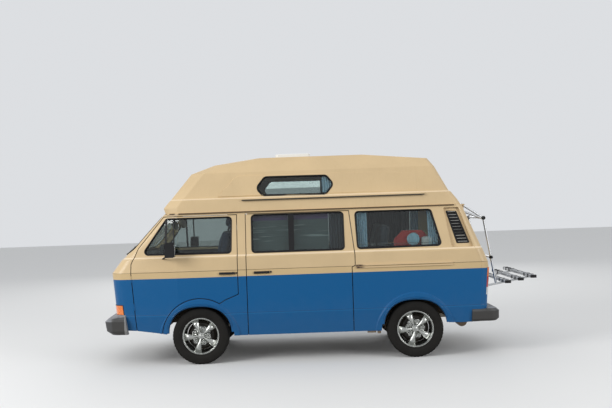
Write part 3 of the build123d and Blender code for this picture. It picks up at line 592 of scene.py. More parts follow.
# Slide rail: body colour with its slot painted dark as shade, rusty where it starts
graph = newLook("railPaint")
slot = graph.rise(graph.maths("ABSOLUTE", graph.axis("Y")), 0.9135, 0.9125)
rusty = graph.maths("MULTIPLY", graph.rise(graph.axis("X"), station(3.06), station(2.98)),
                    graph.rise(graph.noise(40.0, 4.0), 0.3, 0.5))
tone = graph.mix(rusty, graph.mix(slot, tones["cream"], (0.02, 0.015, 0.01)), (0.05, 0.016, 0.010))
graph.finish({"Base Color": tone, "Roughness": 0.45})

graph = newLook("cabinetWood")
rings = graph.rise(graph.noise(1.0, 5.0, (5.0, 60.0, 5.0)), 0.3, 0.7)
graph.finish({"Base Color": graph.mix(rings, (0.20, 0.115, 0.055), (0.32, 0.20, 0.105)), "Roughness": 0.42},
             (0.002, 0.05, 200.0))

# Blind cloth: grey tinted green as painted reflection, with wavy pale lines along its folds as painted highlight,
# and a purple strip along its top
graph = newLook("blindCloth")
waves = graph.noise(1.0, 2.0, (2.2, 2.2, 34.0))
tone = graph.mix(graph.rise(waves, 0.60, 0.70), (0.070, 0.092, 0.094), (0.24, 0.28, 0.28))
tone = graph.mix(graph.rise(graph.axis("Z"), 1.615, 1.622), tone, (0.075, 0.040, 0.120))
graph.finish({"Base Color": tone, "Roughness": 0.85, "Normal": graph.bump(waves, 0.6, 0.01)})
print("looks ready")

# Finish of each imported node, those too that the scene's own pieces replace
nodeLooks = {
    "underbody": ["floor_pan", "rear_deck"],
    "bodyPaint": ["side_left", "side_right", "front_panel", "rear_panel", "sliding_door", "front_door_left",
                  "front_door_right", "tailgate"],
    "roofPaint": ["high_roof"],
    "railPaint": ["slide_rail"],
    "blackPlastic": ["window_bars", "door_bars_left", "door_bars_right", "upper_grille", "lower_grille", "air_vents",
                     "mirror_left", "mirror_right", "wipers"],
    "awningPaint": ["awning_rail"],
    "paneGlass": ["windscreen", "side_windows", "door_glass_left", "door_glass_right", "tailgate_glass"],
    "bumperPlastic": ["front_bumper", "rear_bumper"],
    "lampGlass": ["head_lamps"],
    "orangeLens": ["indicators"],
    "tailLens": ["rear_lamps"],
    "chassisIron": ["front_axle", "rear_axle", "knuckle_left", "knuckle_right", "tow_eye"],
    "engineAlloy": ["engine"],
    "exhaustSteel": ["exhaust"],
    "cabPlastic": ["dashboard", "steering_wheel"],
    "seatCloth": ["front_seats"],
    "benchCloth": ["bench_cushions"],
    "cabinetWood": ["bench_base", "kitchen_unit"],
    "curtainBlue": ["curtains"],
    "rackAlloy": ["bike_rack"],
    "ventPlastic": ["vent_lid"],
    "tyreRubber": [name for name in nodes if name.startswith("tyre_")],
    "polishedAlloy": [name for name in nodes if name.startswith("wheel_")],
}
for look, names in nodeLooks.items():
    for name in names:
        nodes[name].data.materials.clear()
        nodes[name].data.materials.append(looks[look])

# Windows: outline as stations and heights, corner radius, whether they are in the front doors
windows = {
    "FrontWindow": ([(0.486, 1.270), (0.775, 1.675), (1.528, 1.675), (1.516, 1.264)], 0.038, True),
    "MiddleWindow": ([(1.761, 1.260), (1.761, 1.688), (2.815, 1.688), (2.815, 1.260)], 0.038, False),
    "QuarterWindow": ([(2.971, 1.264), (2.955, 1.686), (3.826, 1.684), (3.933, 1.271)], 0.038, False),
    "RoofWindow": ([(1.819, 1.997), (1.922, 2.127), (2.641, 2.123), (2.724, 2.018), (2.632, 1.905), (1.896, 1.911)],
                   0.060, False),
}
# Windows of the ends: outline as sideways places and heights, corner radius, end, body
endWindows = {
    "screen": ([(-0.765, 1.290), (-0.690, 1.695), (0.690, 1.695), (0.765, 1.290)], 0.060, "front", "van"),
    "tailgateWindow": ([(-0.610, 1.290), (-0.565, 1.640), (0.565, 1.640), (0.610, 1.290)], 0.050,
                       "tail", "tailgate"),
}
seal = {"outside": 0.009, "inside": 0.013, "proud": 0.004, "lip": 0.55}


def frontDoor(label):
    return "front_door_" + label.lower()


# Rubber ring round a window, from the panel over the edge down to the pane
def sealPart(cast, end, outline, corner):
    rows = []
    for place, away in roundOutline(outline, corner, spacing=0.05):
        panel, normal = cast(end, *(place + away * seal["outside"]))
        pane, _ = cast(end, *(place - away * seal["inside"]))
        across = panel - pane
        depth = across.dot(normal)
        across = (across - normal * depth).normalized()
        edge = panel - across * (seal["outside"] - 0.002)
        proud = normal * seal["proud"]
        rows.append([panel - normal * 0.001, panel + proud * 0.8 - across * 0.001, panel + proud - across * 0.005,
                     edge + proud, pane + normal * depth * seal["lip"] + across * 0.003, pane + normal * 0.0005])
    return gridPart(rows, wrapRows=True)


for name, (outline, corner, inDoor) in windows.items():
    for side, label in sides:
        newPiece("seal" + name + label, sealPart(onSide, side, outline, corner), "rubber",
                 body=frontDoor(label) if inDoor else "van")
for name, (outline, corner, end, body) in endWindows.items():
    newPiece("seal" + name, sealPart(onEnd, end, outline, corner), "rubber", body=body)
print("window seals made")

# Wheels, drawn at the hub with the outer face towards -y
tyre = {"radius": 0.322, "bead": 0.2055, "groove": 0.008, "grooves": (-0.054, -0.018, 0.018, 0.054),
        "grooveHalf": 0.004, "steps": 192}
rim = {"lip": 0.2085, "face": 0.0815, "spokes": 5, "firstSpoke": 40.0, "firstBoss": 8.0, "bossCircle": 0.088,
       "bossRadius": 0.0235}


def tyrePart():
    wall = [(tyre["bead"], 0.076), (0.214, 0.080), (0.219, 0.0905), (0.222, 0.0912), (0.225, 0.090), (0.240, 0.0985),
            (0.262, 0.1000), (0.285, 0.0994), (0.300, 0.0965)]
    top = tyre["radius"]
    rows = []
    for k, (across, upward) in enumerate(circle(1, tyre["steps"])):
        lug = 0.0045 if k % 4 < 1 else 0.0
        sipe = 0.003 if k % 4 == 2 else 0.0
        shoulder = wall + [(0.313 - lug, 0.092), (0.3195 - lug, 0.086)]
        profile = [(r, -y) for r, y in shoulder]
        for middle in tyre["grooves"]:
            left, right = middle - tyre["grooveHalf"], middle + tyre["grooveHalf"]
            profile += [(top - sipe, left - 0.001), (top - tyre["groove"], left), (top - tyre["groove"], right),
                        (top - sipe, right + 0.001)]
        rows.append([(r * across, y, r * upward) for r, y in profile + shoulder[::-1]])
    return gridPart(rows, wrapRows=True, wrapColumns=True)


def spokePart():
    rows = []
    for k in range(11):
        share = k / 10
        radius = 0.034 + share * (0.188 - 0.034)
        half = 0.0145 + 0.0290 * share ** 1.3
        front = -0.056 - 0.014 * math.sin(math.pi * share) - 0.006 * share + 0.020 * max(0.0, share - 0.8) * 5
        row = [(radius, front + 0.016 * abs(j / 4 - 1) ** 2.2, half * (j / 4 - 1)) for j in range(9)]
        rows.append(row + [(radius, front + 0.040, half * 0.8), (radius, front + 0.046, 0),
                           (radius, front + 0.040, -half * 0.8)])
    return gridPart(rows, wrapColumns=True, capEnds=True)


def rimPart():
    lip, face, boss = rim["lip"], rim["face"], rim["bossRadius"]
    barrel = lathePart([(0.1940, 0.0800), (lip, 0.0800), (lip, 0.0765), (0.2045, 0.0755), (0.2045, -0.0740),
                        (lip, -0.0760), (lip + 0.0005, -face + 0.0010), (lip - 0.0020, -face),
                        (0.2010, -face + 0.0005), (0.1990, -0.0770), (0.1970, -0.0735), (0.1940, -0.0725),
                        (0.1915, -0.0660), (0.1880, -0.0500), (0.1700, -0.0100), (0.1700, 0.0400),
                        (0.1930, 0.0700)], 96, closed=True)
    hub = lathePart([(0.0005, -0.0570), (0.0300, -0.0580), (0.0360, -0.0560), (0.0420, -0.0460), (0.0560, -0.0340),
                     (0.0800, -0.0260), (0.1080, -0.0200), (0.1080, -0.0060), (0.0005, -0.0050)], 60)
    cap = lathePart([(0.0005, -0.0720), (0.0120, -0.0712), (0.0180, -0.0680), (0.0205, -0.0600),
                     (0.0205, -0.0550)], 40)
    ring = lathePart([(0.0120, -0.0540), (0.0130, -0.0700), (0.0150, -0.0725), (0.0200, -0.0715), (boss, -0.0660),
                      (boss + 0.001, -0.0180)], 28)
    nut = lathePart([(0.0105, -0.0500), (0.0105, -0.0596), (0.0084, -0.0620), (0.0005, -0.0620)], 6)
    bolt = movePart(joinParts([ring, nut]), Matrix.Translation((rim["bossCircle"], 0, 0)))
    parts = [barrel, hub, cap]
    for k in range(rim["spokes"]):
        parts.append(movePart(spokePart(), turned("Y", -rim["firstSpoke"] - 72 * k)))
        parts.append(movePart(bolt, turned("Y", -rim["firstBoss"] - 72 * k)))
    return joinParts(parts)


disc = lathePart([(0.0300, 0.0060), (0.0620, 0.0060), (0.0640, 0.0180), (0.1390, 0.0180), (0.1390, 0.0300),
                  (0.0300, 0.0300)], 60, closed=True)
# Dish behind the brake disc, black as painted shade
plate = lathePart([(0.0300, 0.0340), (0.1650, 0.0340), (0.1650, 0.0380), (0.0300, 0.0380)], 60, closed=True)
# Columns: piece, part, look, slot, node that it replaces
wheelPieces = (("tyre", tyrePart(), "tyreRubber", "tyre_rubber", "tyre_"),
               ("rim", rimPart(), "polishedAlloy", "wheel_alloy", "wheel_"),
               ("brake", disc, "darkSteel", "chassis_iron", None),
               ("brakePlate", plate, "shadeBlack", "chassis_iron", None))
for axle in ("front", "rear"):
    for side, label in sides:
        own = axle + "_" + label.lower()
        place = shiftTo(van[axle + "Axle"], side * van["wheelSide"], van["hub"])
        holder = "knuckle_" + label.lower() if axle == "front" else "van"
        for name, part, look, slot, node in wheelPieces:
            newPiece(name + axle.title() + label, movePart(sidePart(part, side), place), look,
                     [node + own] if node else [], holder if name == "brakePlate" else "wheel_" + own)
print("wheels made")

# Padded pieces: rounded blocks are merged, blown up a little as cloth, and held to a short reach
stuffing = {"voxel": 0.017, "pressure": 4.0, "frames": 20, "reach": 0.016, "held": 0.012, "piping": 0.0045}


def puffPart(parts, voxel=stuffing["voxel"]):
    part = joinParts(parts)
    scene = bpy.context.scene
    shape = meshObject("puff", part)
    remesh = shape.modifiers.new("remesh", "REMESH")
    remesh.mode = "VOXEL"
    remesh.voxel_size = voxel
    shape.data = bpy.data.meshes.new_from_object(shape.evaluated_get(bpy.context.evaluated_depsgraph_get()))
    shape.modifiers.clear()
    rest = [v.co.copy() for v in shape.data.vertices]
    base = min(p.z for p in rest) + stuffing["held"]
    held = shape.vertex_groups.new(name="held")
    held.add([i for i, p in enumerate(rest) if p.z < base], 1.0, "REPLACE")
    cloth = shape.modifiers.new("cloth", "CLOTH")
    cloth.settings.use_pressure = True
    cloth.settings.uniform_pressure_force = stuffing["pressure"]
    cloth.settings.effector_weights.gravity = 0.0
    cloth.settings.vertex_group_mass = "held"
    cloth.point_cache.frame_end = stuffing["frames"]
    for frameNumber in range(1, stuffing["frames"] + 1):
        scene.frame_set(frameNumber)
    blown = shape.evaluated_get(bpy.context.evaluated_depsgraph_get()).data
    points = []
    for start, vertex in zip(rest, blown.vertices):
        move = vertex.co - start
        points.append(start + move * min(1.0, stuffing["reach"] / max(move.length, 1e-6)))
    faces = [tuple(p.vertices) for p in shape.data.polygons]
    scene.frame_set(1)
    bpy.data.objects.remove(shape)
    return points, faces


# Cord of piping laid round a padded part, where rays from outside in a plane meet it
def pipingPart(part, lowU, highU, lowV, highV, plane):
    tree = BVHTree.FromPolygons(*part)
    path = []
    for place, away in roundOutline([(lowU, lowV), (highU, lowV), (highU, highV), (lowU, highV)], 0.04):
        start = plane @ Vector((*(place + away * 0.2), 0.0))
        hit = tree.ray_cast(start, plane.to_3x3() @ Vector((*(-away), 0.0)))[0]
        if hit:
            path.append(hit)
    return tubePart(path, stuffing["piping"], 6, closed=True)


def paddedPiece(name, part, look, replaces=()):
    piece = newPiece(name, part, look, replaces)
    rounding = piece.modifiers.new("subdivision", "SUBSURF")
    rounding.levels = rounding.render_levels = 1


# Front seats, drawn about the seat's middle line at y = 0
seat = {"front": 0.840, "depth": 0.520, "middle": 0.410, "half": 0.250, "low": 0.860, "top": 0.978,
        "bolster": 0.070, "backFoot": (1.330, 0, 0.940), "lean": 12.0, "backHalf": 0.240, "backHeight": 0.590}


# Rounded block with a bolster along each side, from corners as pairs of x and z
def bolstered(half, low, high, radius, sideLow, sideHigh, sideRadius):
    blocks = [boxPart((low[0], -half, low[1]), (high[0], half, high[1]), radius, 3)]
    for side, _ in sides:
        inner, outer = sorted((side * (half - seat["bolster"]), side * half))
        blocks.append(boxPart((sideLow[0], inner, sideLow[1]), (sideHigh[0], outer, sideHigh[1]), sideRadius, 3))
    return puffPart(blocks)


front, low, top = station(seat["front"]), seat["low"], seat["top"]
rear = front + seat["depth"]
backFoot = shiftTo(*seat["backFoot"]) @ turned("Y", seat["lean"])
seatCushion = bolstered(seat["half"], (front, low), (rear, top - 0.006), 0.034,
                        (front + 0.02, low + 0.02), (rear, top + 0.010), 0.030)
seatBack = bolstered(seat["backHalf"], (-0.050, -0.040), (0.058, seat["backHeight"]), 0.038,
                     (-0.062, 0.0), (0.02, 0.520), 0.026)
seatHead = puffPart([boxPart((-0.040, -0.130, 0.630), (0.045, 0.130, 0.800), 0.034, 3)])
seatPieces = (("seatCushion", seatCushion, Matrix()), ("seatBack", seatBack, backFoot),
              ("headRest", seatHead, backFoot))
backPlane = Matrix(((0, 0, 1, -0.030), (1, 0, 0, 0), (0, 1, 0, 0), (0, 0, 0, 1)))
seatPiping = joinParts([pipingPart(seatCushion, front, rear, -0.25, 0.25, Matrix.Translation((0, 0, top - 0.035))),
                        movePart(pipingPart(seatBack, -0.24, 0.24, -0.04, 0.59, backPlane), backFoot)])
seatFrame = [boxPart((front + 0.06, -0.20, 0.800), (front + 0.48, 0.20, 0.866), 0.006)]
for side, _ in sides:
    runner = side * 0.185
    seatFrame.append(boxPart((front + 0.03, runner - 0.014, 0.800), (front + 0.51, runner + 0.014, 0.818), 0.003))
    seatFrame.append(movePart(tubePart([(0, side * 0.06, 0.57), (0, side * 0.06, 0.65)], 0.007), backFoot))
    recliner = lathePart([(0.0005, -0.012), (0.036, -0.012), (0.040, 0.0), (0.040, 0.012), (0.0005, 0.012)], 24)
    seatFrame.append(movePart(recliner, shiftTo(1.312, side * 0.262, 0.905)))
for side, label in sides:
    shift = Matrix.Translation((0, side * seat["middle"], 0))
    for name, part, pose in seatPieces:
        paddedPiece(name + label, movePart(part, shift @ pose), "seatCloth", ["front_seats"])
    for name, part in (("seatPiping", seatPiping), ("seatFrame", joinParts(seatFrame))):
        newPiece(name + label, movePart(part, shift), "cabPlastic", ["front_seats"])

# Bench cushions and the pad on the rear deck
bench = {"front": 2.620, "rear": 3.143, "left": -0.650, "right": 0.510, "low": 0.8005, "top": 0.926,
         "backFoot": (3.213, 0, 0.905), "lean": 10.0, "backHeight": 0.635, "gap": 0.004, "voxel": 0.024,
         "deckLow": (3.373, -0.688, 0.9005), "deckHigh": (4.328, 0.688, 0.997)}
left, right = bench["left"], bench["right"]
middle = (left + right) / 2
benchSeat = stationBox((bench["front"], left, bench["low"]), (bench["rear"], right, bench["top"]), 0.034, 3)
benchSeat = puffPart([benchSeat], bench["voxel"])
half = boxPart((-0.056, left, 0.0), (0.056, middle - bench["gap"], bench["backHeight"]), 0.034, 3)
half = puffPart([half], bench["voxel"])
benchBack = joinParts([half, movePart(half, Matrix.Translation((0, middle + bench["gap"] - left, 0)))])
benchBack = movePart(benchBack, shiftTo(*bench["backFoot"]) @ turned("Y", bench["lean"]))
deckPad = puffPart([stationBox(bench["deckLow"], bench["deckHigh"], 0.030, 3)], bench["voxel"])
for name, part in (("benchSeat", benchSeat), ("benchBack", benchBack), ("deckPad", deckPad)):
    paddedPiece(name, part, "benchCloth", ["bench_cushions"])
newPiece("benchPiping", pipingPart(benchSeat, station(bench["front"]), station(bench["rear"]), left, right,
                                   Matrix.Translation((0, 0, bench["top"] - 0.030))),
         "cabPlastic", ["bench_cushions"])
print("seats and cushions made")


def between(ends, share):
    return ends[0] + (ends[1] - ends[0]) * share


# Inner face of a leaning side, level by level, from two heights on its outer skin at a station
def innerFace(s, low, high, thickness):
    skin = [abs(onSide(-1, s, z)[0].y) - thickness for z in (low, high)]
    return lambda z: between(skin, (z - low) / (high - low))


innerWall = innerFace(1.644, 1.250, 1.690, 0.045)
innerRoof = innerFace(1.480, 1.915, 2.120, 0.032)


# Cloth along a side between stations and heights, set in from the inner face by its folds
def hungPart(side, stations, heights, columns, levels, inset, face):
    rows = []
    for j in range(levels + 1):
        z = between(heights, j / levels)
        rows.append([(station(between(stations, k / columns)), side * (face(z) - inset(k / columns, j / levels)), z)
                     for k in range(columns + 1)])
    return gridPart(rows)


def pleatPart(side, stations, heights, folds, depth, face=innerWall):
    def inset(share, rise):
        wave = math.sin(2 * math.pi * folds * share + 0.6 * math.sin(5 * share + 2 * (1 - rise)))
        return 0.004 + depth * (1 - 0.45 * rise) * (1 + wave) / 2
    return hungPart(side, stations, heights, folds * 10, 14, inset, face)


def blindInset(share, rise):
    return 0.012 + 0.003 * math.sin(9 * share + 1.5 * rise) + 0.002 * math.sin(23 * share - 4 * rise)


def curtainPiece(name, part, look):
    piece = newPiece(name, part, look, ["curtains"])


def wirePiece(name, bars, radius, around=6):
    wires = [tubePart(placed(((low, y, z), (high, y, z))), radius, around) for low, high, y, z in bars]
    newPiece(name, joinParts(wires), "chrome", ["curtains"])


# Curtains: heights of the cloth, and stations and folds of those drawn back beside the quarter windows
curtain = {"heights": (1.252, 1.698), "Front": ((2.962, 3.090), 5), "Rear": ((3.790, 3.900), 5), "depth": 0.024,
           "wire": (2.950, 3.905), "levels": (1.306, 1.692)}
for side, label in sides:
    for name in ("Front", "Rear"):
        part = pleatPart(side, curtain[name][0], curtain["heights"], curtain[name][1], curtain["depth"])
        curtainPiece("quarterCurtain" + name + label, part, "curtainBlue")
    bars = [(*curtain["wire"], side * (innerWall(z) - 0.003), z) for z in curtain["levels"]]
    wirePiece("curtainWire" + label, bars, 0.0022)
part = pleatPart(1, (3.160, 3.784), curtain["heights"], 15, curtain["depth"])
curtainPiece("drawnCurtain", part, "curtainDark")

# Blind and dark curtain behind the sliding door's window, with the rod that carries them
blind = {"stations": (1.745, 2.645), "curtain": (2.651, 2.850), "heights": (1.256, 1.692)}
wirePiece("blindRod", [(1.742, 2.850, 0.012 - innerWall(1.692), 1.692)], 0.004, 8)
part = hungPart(-1, blind["stations"], blind["heights"], 60, 16, blindInset, innerWall)
curtainPiece("blind", part, "blindCloth")
part = pleatPart(-1, blind["curtain"], blind["heights"], 6, 0.026)
curtainPiece("darkCurtain", part, "curtainDark")

roofCurtain = {"stations": (2.590, 2.700), "heights": (1.925, 2.120), "wire": (1.800, 2.740), "level": 2.122}
for side, label in sides:
    reach = side * (innerRoof(roofCurtain["level"]) - 0.004)
    wirePiece("roofWire" + label, [(*roofCurtain["wire"], reach, roofCurtain["level"])], 0.0022)
    part = pleatPart(side, roofCurtain["stations"], roofCurtain["heights"], 4, 0.018, innerRoof)
    curtainPiece("roofCurtain" + label, part, "curtainBlue")
print("curtains and blind made")

# Bedding beside the deck pad: folded blanket, red cushion, round blue cushion and a small pillow
bedding = {"front": 3.304, "rear": 3.892, "inner": -0.695, "outer": -0.815, "low": 0.9005, "top": 1.249,
           "layers": 5, "round": (3.623, -0.768, 1.347), "pillow": ((3.715, -0.812, 1.2505), (3.850, -0.748, 1.375)),
           "arch": [(3.400, 1.2505), (3.830, 1.2505), (3.830, 1.350), (3.730, 1.450), (3.500, 1.450),
                    (3.400, 1.350)]}


# Cushion from an outline of stations and heights, rounded towards both faces
def slabPart(outline, corner, inner, outer, soft, steps=6):
    middle = sum((Vector(p) for p in outline), Vector((0, 0))) / len(outline)
    ring = roundOutline(outline, corner, spacing=0.02)
    rows = []
    for k in range(steps + 1):
        angle = math.pi * k / steps
        pull = soft * (1 - math.sin(angle)) if 0 < k < steps else soft * 1.6
        y = between((inner, outer), (1 - math.cos(angle)) / 2)
        rows.append([(station((p - n * pull).x), y, (p - n * pull).y) for p, n in ring])
    for y, place in ((inner + 0.006, 0), (outer - 0.006, len(rows) + 1)):
        tips = [middle.lerp(p, 0.35) for p, n in ring]
        rows.insert(place, [(station(tip.x), y, tip.y) for tip in tips])
    return gridPart(rows, wrapColumns=True, capEnds=True)


layers = []
step = (bedding["top"] - bedding["low"]) / bedding["layers"]
for k in range(bedding["layers"]):
    shift, low = 0.006 * math.sin(2.4 * k), bedding["low"] + step * k
    layers.append(stationBox((bedding["front"] + shift, bedding["outer"], low),
                             (bedding["rear"] + shift, bedding["inner"], low + step), 0.030, 4))
paddedPiece("blanket", puffPart(layers), "blanketPale")
paddedPiece("archCushion", slabPart(bedding["arch"], 0.045, -0.694, -0.742, 0.012), "cushionRed")
roundCushion = lathePart([(0.0008, -0.018), (0.012, -0.020), (0.040, -0.0245), (0.064, -0.020), (0.0745, -0.006),
                          (0.0745, 0.006), (0.064, 0.020), (0.040, 0.0215), (0.0008, 0.019)], 40)
paddedPiece("roundCushion", movePart(roundCushion, shiftTo(*bedding["round"])), "cushionBlue")
paddedPiece("pillow", puffPart([stationBox(*bedding["pillow"], 0.030, 4)], 0.012), "blanketPale")
print("bedding made")

# Door handles: black shells over the solid grips, with a lock behind the rear end.
# Columns: name, side, stations of the ends, body
handle = {"low": 1.0212, "high": 1.0508, "inner": 0.914, "outer": 0.9392}
handles = (("doorHandleLeft", -1, 1.3785, 1.5615, "front_door_left"),
           ("doorHandleRight", 1, 1.3785, 1.5615, "front_door_right"),
           ("slidingHandleLeft", -1, 1.7735, 1.9565, "van"))
lock = lathePart([(0.0005, -0.006), (0.004, -0.0055), (0.0085, -0.006), (0.0105, -0.004), (0.0105, 0.004)], 24)
for name, side, start, end, body in handles:
    shell = stationBox((start, -handle["outer"], handle["low"]), (end, -handle["inner"], handle["high"]), 0.006, 3)
    newPiece(name, sidePart(shell, side), "blackPlastic", body=body)
    skin = onSide(side, end + 0.014, 1.036)[0]
    placedLock = movePart(lock, Matrix.Translation((skin.x, -abs(skin.y), skin.z)))
    newPiece(name + "Lock", sidePart(placedLock, side), "darkSteel", body=body)

# Mirror glasses and their rims on the rear faces of the housings. Columns: look, low, high, edge, segments
doorMirror = {"mirrorGlass": ("mirrorFace", (0.9002, -1.056, 1.252), (0.9028, -0.974, 1.400), 0.0008, 1),
              "mirrorRim": ("rubber", (0.8960, -1.062, 1.246), (0.9012, -0.968, 1.406), 0.002, 2)}
for side, label in sides:
    for name, (look, *box) in doorMirror.items():
        newPiece(name + label, sidePart(stationBox(*box), side), look, body=frontDoor(label))
print("handles and mirrors made")


# Thin bead along places on the skin
def beadPart(places, radius, closed=False):
    return tubePart([place for place, normal in places], radius, 6, closed)


# Frames round the front indicators
indicator = {"low": (0.590, 0.266), "high": (0.702, 0.256), "inner": 0.676, "bead": 0.005}   # height, rear station
for side, label in sides:
    beads = []
    for z, rear in (indicator["low"], indicator["high"]):
        line = [onEnd("front", side * y, z) for y in (indicator["inner"], 0.70, 0.72, 0.74, 0.76, 0.78)]
        beads.append(line + [onSide(side, s, z) for s in (0.140, 0.160, 0.180, 0.200, 0.220, 0.240, rear)])
    beads.append([onSide(side, rear, z) for z, rear in (indicator["low"], indicator["high"])])
    beads.append([onEnd("front", side * indicator["inner"], z) for z in (0.590, 0.702)])
    newPiece("indicatorFrame" + label, joinParts([beadPart(line, indicator["bead"]) for line in beads]),
             "blackPlastic")

# Pale lines along the louvres' upper edges as painted highlight: heights, and stations of their ends at the foot and
# the top
louvres = {"count": 11, "heights": (1.285, 1.663), "front": (4.130, 4.022), "rear": (4.238, 4.106)}
louvreTree = solidTree(["air_vents"])
for side, label in sides:
    edges = []
    for k in range(louvres["count"]):
        share = (k + 0.5) / louvres["count"]
        z, front, rear = (between(louvres[key], share) for key in ("heights", "front", "rear"))
        starts = placed((s, side * van["sideReach"], z + 0.003) for s in (front, (front + rear) / 2, rear))
        hits = [louvreTree.ray_cast(Vector(start), Vector((0, -side, 0)))[0] for start in starts]
        if all(hits):
            edges.append(tubePart(hits, 0.0038, 6))
    newPiece("louvreEdges" + label, joinParts(edges), "slatHighlight")

# Dark brown strip on the gutters' outer faces: sealant colour with painted shadow under the roof's edge
for side, label in sides:
    strip = gridPart([[onSide(side, between((0.760, 4.100), k / 60), z, 0.0012)[0] for k in range(61)]
                      for z in (1.7222, 1.7345)])
    newPiece("gutterSealant" + label, strip, "sealant")
print("frames, louvres and sealant made")

# Headlamps: chrome ring, ribbed lens, reflector bowl and bulb
headlamp = {"side": 0.580, "height": 0.918, "radius": 0.0905, "above": 1.040, "below": 0.790}
radius = headlamp["radius"]
ring = lathePart([(radius - 0.009, -0.0020), (radius - 0.007, -0.0050), (radius - 0.003, -0.0060),
                  (radius, -0.0040), (radius, 0.0060), (radius - 0.009, 0.0060)], 72, closed=True)
lensRows = []
for across, upward in circle(1, 72):
    spots = [0.0005 + (radius - 0.0095) * j / 24 for j in range(25)]
    lensRows.append([(r * across, -0.0032 - 0.0030 * (1 - (r / radius) ** 2) + 0.0005 * math.sin(r * across * 520),
                      r * upward) for r in spots])
bowl = lathePart([(radius - 0.010, 0.0010), (radius - 0.014, 0.0060), (0.060, 0.0135), (0.030, 0.0180),
                  (0.012, 0.0195), (0.0005, 0.0195)], 60)
bulb = lathePart([(0.0005, 0.0020), (0.006, 0.0035), (0.009, 0.0080), (0.009, 0.0190)], 20)
lampPieces = (("lampRing", ring, "chrome"), ("lampLens", gridPart(lensRows, wrapRows=True), "lampGlass"),
              ("lampBowl", joinParts([bowl, bulb]), "chrome"))
for side, label in sides:
    above, below = (onEnd("front", side * headlamp["side"], headlamp[key])[0].x for key in ("above", "below"))
    lean = math.degrees(math.atan2(below - above, headlamp["above"] - headlamp["below"]))
    pose = Matrix.Translation(((above + below) / 2, side * headlamp["side"], headlamp["height"]))
    for name, part, look in lampPieces:
        newPiece(name + label, movePart(part, pose @ turned("Y", -lean) @ turned("Z", -90)), look,
                 ["head_lamps"])
print("headlamps made")

# Lips of the wheel arches, flatter on top than a circle, from the flare inwards
archLip = {"outer": 0.420, "seat": 0.396, "top": 0.342, "side": 0.360, "power": 2.4, "flange": 0.030, "steps": 72,
           "feet": {"front": 0.372, "rear": 0.402}, "proud": 0.0008, "bead": 0.0085}


def archOpening(across, upward):
    share = (abs(across) / archLip["side"]) ** archLip["power"] + (abs(upward) / archLip["top"]) ** archLip["power"]
    return share ** (-1 / archLip["power"])


for axle, foot in archLip["feet"].items():
    middle, outer, seat = van[axle + "Axle"], archLip["outer"], archLip["seat"]
    lowest = math.asin((foot - van["hub"]) / outer)
    for side, label in sides:
        rows = []
        for k in range(archLip["steps"] + 1):
            angle = between((lowest, math.pi - lowest), k / archLip["steps"])
            across, upward = math.cos(angle), math.sin(angle)
            edge, face = (onSide(side, middle + r * across, van["hub"] + r * upward)[0].y + side * archLip["proud"]
                          for r in (outer, seat))
            opening, inner = archOpening(across, upward), face - side * archLip["flange"]
            profile = [(outer, edge), (seat, face), (seat - 0.010, face + side * 0.001), (opening + 0.014, face),
                       (opening + 0.005, face - side * 0.002), (opening, face - side * 0.007), (opening, inner),
                       (opening + 0.010, inner), (seat - 0.012, face - side * 0.020)]
            rows.append([Vector((station(middle) + r * across, y, van["hub"] + r * upward)) for r, y in profile])
        bead = [row[3].lerp(row[2], 0.15) - Vector((0, side * 0.003, 0)) for row in rows[4:-4]]
        lip = joinParts([gridPart(rows), tubePart(bead, archLip["bead"])])
        newPiece("archLip" + axle.title() + label, lip, "bodyPaint")
print("arch lips made")

# Cab: dials in a binnacle, vents, pedals, gear lever, visors and mirror
cab = {"driver": 0.410, "floor": 0.562, "lever": 0.120, "vents": (-0.760, -0.340, 0.020, 0.700),
       "pedals": (0.290, 0.410, 0.500), "visors": (-0.340, 0.340),
       "dials": ((-0.095, 0.052), (0.025, 0.052), (0.120, 0.030))}   # sideways from the driver's middle, radius
driver, floor, lever = cab["driver"], cab["floor"], cab["lever"]
binnacle = stationBox((0.500, driver - 0.190, 1.225), (0.640, driver + 0.190, 1.345), 0.020, 3)
dials, marks, controls, visors = [], [], [], []
for y, radius in cab["dials"]:
    place = shiftTo(0.6405, driver + y, 1.288) @ turned("Z", 90)
    dials.append(movePart(lathePart([(0.0005, -0.0006), (radius, -0.0006), (radius + 0.003, -0.003),
                                     (radius + 0.004, 0.0)], 40), place))
    mark = boxPart((radius * 0.80, -0.0014, -0.0007), (radius * 0.94, -0.0006, 0.0007))
    needle = boxPart((0.0, -0.0020, -0.0009), (radius * 0.78, -0.0012, 0.0009))
    marks += [movePart(mark, place @ turned("Y", -30 - 20 * k)) for k in range(13)]
    marks.append(movePart(needle, place @ turned("Y", -150)))
for y in cab["vents"]:
    for k in range(5):
        s, z = 0.628 - 0.0045 * k, 1.192 + 0.010 * k
        controls.append(stationBox((s, y - 0.055, z), (s + 0.022, y + 0.055, z + 0.003)))
for y in cab["pedals"]:
    controls.append(stationBox((0.430, y - 0.030, 0.640), (0.442, y + 0.030, 0.715), 0.004))
    controls.append(tubePart(placed([(0.436, y, 0.700), (0.400, y, 0.860), (0.390, y, 0.930)]), 0.008, 8))
controls.append(tubePart(placed([(0.760, lever, floor), (0.752, lever, 0.720), (0.765, lever, 0.860)]), 0.008))
knob = lathePart([(0.0005, -0.028), (0.018, -0.020), (0.025, 0.0), (0.018, 0.020), (0.0005, 0.026)], 24)
controls.append(movePart(knob, shiftTo(0.766, lever, 0.875) @ turned("X", 90)))
gaiter = lathePart([(0.075, 0.0), (0.060, -0.030), (0.034, -0.075), (0.012, -0.110)], 24)
controls.append(movePart(gaiter, shiftTo(0.758, lever, floor) @ turned("X", -90)))
screenTop = onEnd("front", 0.0, 1.660)[0].x
